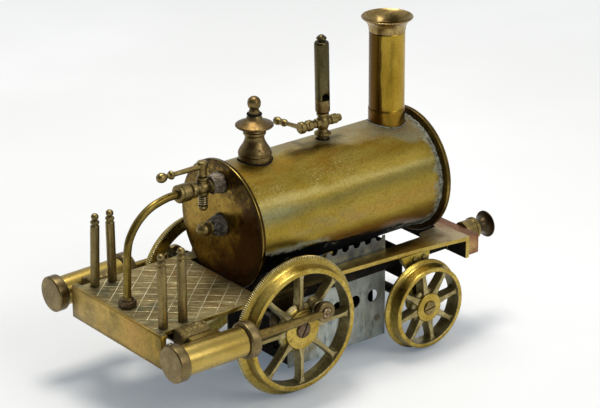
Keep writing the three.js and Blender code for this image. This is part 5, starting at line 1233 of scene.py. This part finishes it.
# ------------------------------------------------------------------ oscillating cylinders
for side, mir in (("left", False), ("right", True)):
    crank = math.radians(CRANK_DEG + (0 if mir else 90))
    px, pz = DRIVE[0] + THROW * math.cos(crank), DRIVE[1] + THROW * math.sin(crank)
    reach = math.hypot(px - PIVOT[0], pz - PIVOT[1])
    turn_m = Matrix.Translation((PIVOT[0], 0, PIVOT[1])) @ Matrix.Rotation(-math.atan2(pz - PIVOT[1], px - PIVOT[0]), 4, "Y")
    fix = (lambda p: mirrored(moved(p, turn_m))) if mir else (lambda p: moved(p, turn_m))
    cyl, pis, at = "cylinder_" + side, "piston_" + side, (0, CYL_Y, 0)
    o = raw_object("cyl_tube_" + side, [fix(lathe([(5.7, -17.0), (7.0, -17.0, 0.15), (7.2, -16.7, 0.15), (7.2, 16.2, 0.15), (7.0, 16.5, 0.1), (5.7, 16.5)], "x", at, 96, None, True))], ["cyl"])
    plate = prism(rounded([(-8, -6.4, 1.2), (8, -6.4, 1.2), (8, 6.4, 1.2), (-8, 6.4, 1.2)], True, 4), 41.9, 45.2, "xz")
    pl = raw_object("cp", [fix(plate)], ["cyl"])
    boolean(pl, [raw_object("cp_c", [fix(lathe([(0, -22), (6.9, -22), (6.9, 22), (0, 22)], "x", at, 96))], ["cyl"])])
    boolean(o, [pl], "UNION")
    boolean(o, [raw_object("ct_c", [fix(lathe([(0, 40), (1.72, 40), (1.72, 43.15), (0, 43.15)], "y", (0, 0, 0), 32))], ["soot"])])
    finish(o, cyl, ["cylinder_barrel_" + side])
    piece("cyl_end_rear_" + side, [fix(lathe([(0, -22.82), (2.0, -22.9), (8.3, -22.9, 0.3), (8.83, -22.4, 0.25), (8.83, -18.0, 0.35), (8.2, -17.3, 0.3), (7.6, -17.15, 0.1), (0, -17.15)], "x", at, 96))],
          "cap", cyl, ["cylinder_rear_cap_" + side])
    piece("cyl_end_front_" + side, [fix(lathe([(2.32, 16.65), (7.7, 16.65, 0.2), (8.3, 17.0, 0.2), (8.83, 17.4, 0.3), (8.83, 21.6, 0.3), (8.2, 22.4, 0.35), (4.3, 22.8, 0.2), (4.2, 23.3, 0.2), (3.4, 23.6, 0.2), (2.32, 23.6)], "x", at, 96, None, True))],
          "cap", cyl, ["cylinder_front_cap_" + side])
    tr = [lathe([(0, 29.3), (1.6, 29.3), (1.6, 43.05), (0, 43.05)], "y", (0, 0, 0), 36), lathe([(0, 28.0), (2.5, 28.0, 0.15), (2.9, 28.3, 0.2), (2.9, 29.3, 0.2), (2.5, 29.6), (0, 29.6)], "y", (0, 0, 0), 60, hexed(2.55))]
    piece("trunnion_pin_" + side, [fix(p) for p in tr], "screw", cyl, ["trunnion_" + side], union=True)
    piece("trunnion_coil_" + side, [fix(helix("y", (0, 0, 0), 2.15, 30.0, 33.2, 3.4, 0.34, 22, 8))], "spring", cyl, sharp=60)
    p = reach - ROD_LENGTH
    rod = lathe([(0, p - 3.0), (5.5, p - 3.0, 0.2), (5.5, p - 0.8), (5.1, p - 0.6), (5.1, p + 0.6), (5.5, p + 0.8), (5.5, p + 3.0, 0.2), (2.2, p + 3.0), (2.2, reach - 22), (1.75, reach - 5.2), (1.75, reach - 3.4), (0, reach - 3.4)], "x", at, 48)
    eye = lathe([(0, 47.0), (4.8, 47.0, 0.2), (5.1, 47.3, 0.2), (5.1, 49.2, 0.2), (4.7, 49.6, 0.25), (3.1, 49.6, 0.1), (2.9, 49.35, 0.1), (0, 49.35)], "y", (reach, 0, 0), 64)
    o = raw_object("rod_" + side, [fix(rod)], ["rod", "cap"])
    boolean(o, [raw_object("rod_e", [remat(fix(eye), 1)], ["rod", "cap"])], "UNION")
    boolean(o, [raw_object("rod_c", [fix(lathe([(0, 46), (1.8, 46), (1.8, 52), (0, 52)], "y", (reach, 0, 0), 40))], ["soot"])])
    finish(o, pis, ["piston_rod_" + side])
    head = lathe([(0, 47.2), (1.6, 47.2), (1.6, 49.45), (2.4, 49.45, 0.1), (2.4, 49.9, 0.15), (2.0, 50.2, 0.15), (1.3, 50.2, 0.1), (1.15, 49.95, 0.1), (0.9, 49.95, 0.1), (0.8, 50.35, 0.15), (0, 50.42)], "y", (reach, 0, 0), 40)
    piece("rod_screw_" + side, [fix(head)], "rod_screw", pis, ["crank_screw_" + side])

# ------------------------------------------------------------------ studio
g = Graph("pale_floor")
n = g.noise(260, 3, 0.5, 90)
col = g.mix(g.rng(n, 0.35, 0.65), C(222, 220, 214), C(228, 226, 221))
floor_mat = g.finish(col, 0.75, 0.0, None, spec=0.2)
fb = [q for q in floor_mat.node_tree.nodes if q.type == "BSDF_PRINCIPLED"][0]
fb.inputs["Emission Color"].default_value = (0.62, 0.80, 1.0, 1.0)
fb.inputs["Emission Strength"].default_value = 0.16
me = bpy.data.meshes.new("floor")
me.from_pydata([(-4, -4, 0), (4, -4, 0), (4, 4, 0), (-4, 4, 0)], [], [(0, 1, 2, 3)])
me.materials.append(g.m)
sweep_mat = floor_mat.copy()
ft = floor_mat.node_tree
f_out = [q for q in ft.nodes if q.type == "OUTPUT_MATERIAL"][0]
f_geo, f_ray, f_mul = ft.nodes.new("ShaderNodeNewGeometry"), ft.nodes.new("ShaderNodeLightPath"), ft.nodes.new("ShaderNodeMath")
f_mul.operation = "MULTIPLY"
ft.links.new(f_geo.outputs["Backfacing"], f_mul.inputs[0])
ft.links.new(f_ray.outputs["Is Camera Ray"], f_mul.inputs[1])
f_mix, f_clear = ft.nodes.new("ShaderNodeMixShader"), ft.nodes.new("ShaderNodeBsdfTransparent")
ft.links.new(f_mul.outputs[0], f_mix.inputs[0])
ft.links.new(fb.outputs[0], f_mix.inputs[1])
ft.links.new(f_clear.outputs[0], f_mix.inputs[2])
ft.links.new(f_mix.outputs[0], f_out.inputs["Surface"])
floor = bpy.data.objects.new("floor", me)
COLL.objects.link(floor)
sv, sf, seg = [], [], 64
ring_p = [(2.2, 0.0005), (2.5, 0.02), (2.8, 0.09), (3.1, 0.24), (3.4, 0.52), (3.65, 0.95), (3.8, 1.6), (3.9, 2.6), (3.95, 4.2)]
for rr, zz in ring_p:
    for i in range(seg):
        sv.append((rr * math.cos(TAU * i / seg), rr * math.sin(TAU * i / seg), zz))
for j in range(len(ring_p) - 1):
    for i in range(seg):
        a, b = j * seg + i, j * seg + (i + 1) % seg
        sf.append((a, a + seg, b + seg, b))
me = bpy.data.meshes.new("sweep")
me.from_pydata(sv, [], sf)
me.materials.append(sweep_mat)
for q in me.polygons:
    q.use_smooth = True
sweep = bpy.data.objects.new("sweep", me)
COLL.objects.link(sweep)
sweep.visible_diffuse = sweep.visible_glossy = sweep.visible_transmission = sweep.visible_shadow = sweep.visible_volume_scatter = False

world = bpy.data.worlds.new("studio")
bpy.context.scene.world = world
world.use_nodes = True
wt = world.node_tree
wt.nodes.clear()
wtc = wt.nodes.new("ShaderNodeTexCoord")
wdot = wt.nodes.new("ShaderNodeVectorMath")
wdot.operation = "DOT_PRODUCT"
dark_dir = Vector((-0.95, -0.25, 0.12)).normalized()
wdot.inputs[1].default_value = dark_dir
wt.links.new(wtc.outputs["Generated"], wdot.inputs[0])
wr = wt.nodes.new("ShaderNodeValToRGB")
wr.color_ramp.elements[0].position, wr.color_ramp.elements[0].color = 0.2, (0.80, 0.82, 0.86, 1)
wr.color_ramp.elements[1].position, wr.color_ramp.elements[1].color = 0.9, (0.10, 0.09, 0.08, 1)
wt.links.new(wdot.outputs["Value"], wr.inputs[0])
wb = wt.nodes.new("ShaderNodeBackground")
wb.inputs[1].default_value = 0.75
wt.links.new(wr.outputs[0], wb.inputs[0])
wo = wt.nodes.new("ShaderNodeOutputWorld")
wt.links.new(wb.outputs[0], wo.inputs[0])


def area(name, loc, target, size, power, color):
    l = bpy.data.lights.new(name, "AREA")
    l.shape, l.size, l.energy, l.color = "SQUARE", size, power, color
    ob = bpy.data.objects.new(name, l)
    ob.location = Vector(loc) - Vector((CENTRE_X * MM, 0, 0))
    ob.rotation_mode = "QUATERNION"
    ob.rotation_quaternion = (Vector(target) - Vector(loc)).to_track_quat("-Z", "Y")
    COLL.objects.link(ob)
    return ob


area("key_top", (0.10, 0.22, 1.15), (0.02, 0.0, 0.05), 0.38, 8.5, (1.0, 0.975, 0.94))
area("fill_front", (0.35, -1.25, 0.95), (0.03, 0.0, 0.06), 0.75, 6.0, (1.0, 0.98, 0.95))

# ------------------------------------------------------------------ camera
az, el, roll = math.radians(-38.43), math.radians(22.60), math.radians(-0.394)
back = Vector((math.sin(az) * math.cos(el), -math.cos(az) * math.cos(el), math.sin(el)))
right = Vector((math.cos(az), math.sin(az), 0))
up = back.cross(right)
r2 = right * math.cos(roll) + up * math.sin(roll)
u2 = -right * math.sin(roll) + up * math.cos(roll)
cam = bpy.data.cameras.new("camera")
cam.lens, cam.sensor_width, cam.sensor_fit = 136.41, 36.0, "HORIZONTAL"
cam.clip_start, cam.clip_end = 0.05, 20.0
camera = bpy.data.objects.new("camera", cam)
COLL.objects.link(camera)
pos = Vector((0.03327 - CENTRE_X * MM, 0, 0.07588)) + back * 1.1018
camera.matrix_world = Matrix(((r2.x, u2.x, back.x, pos.x), (r2.y, u2.y, back.y, pos.y), (r2.z, u2.z, back.z, pos.z), (0, 0, 0, 1)))
bpy.context.scene.camera = camera
bpy.context.scene.view_settings.view_transform = "Standard"

# every new piece goes from the driving axle's x to the frame's
done = set()
for o in COLL.objects:
    if o.type == "MESH" and "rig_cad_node" not in o and o.name not in ("floor", "sweep") and o.data.name not in done:
        o.data.transform(Matrix.Translation((-CENTRE_X * MM, 0, 0)))
        done.add(o.data.name)
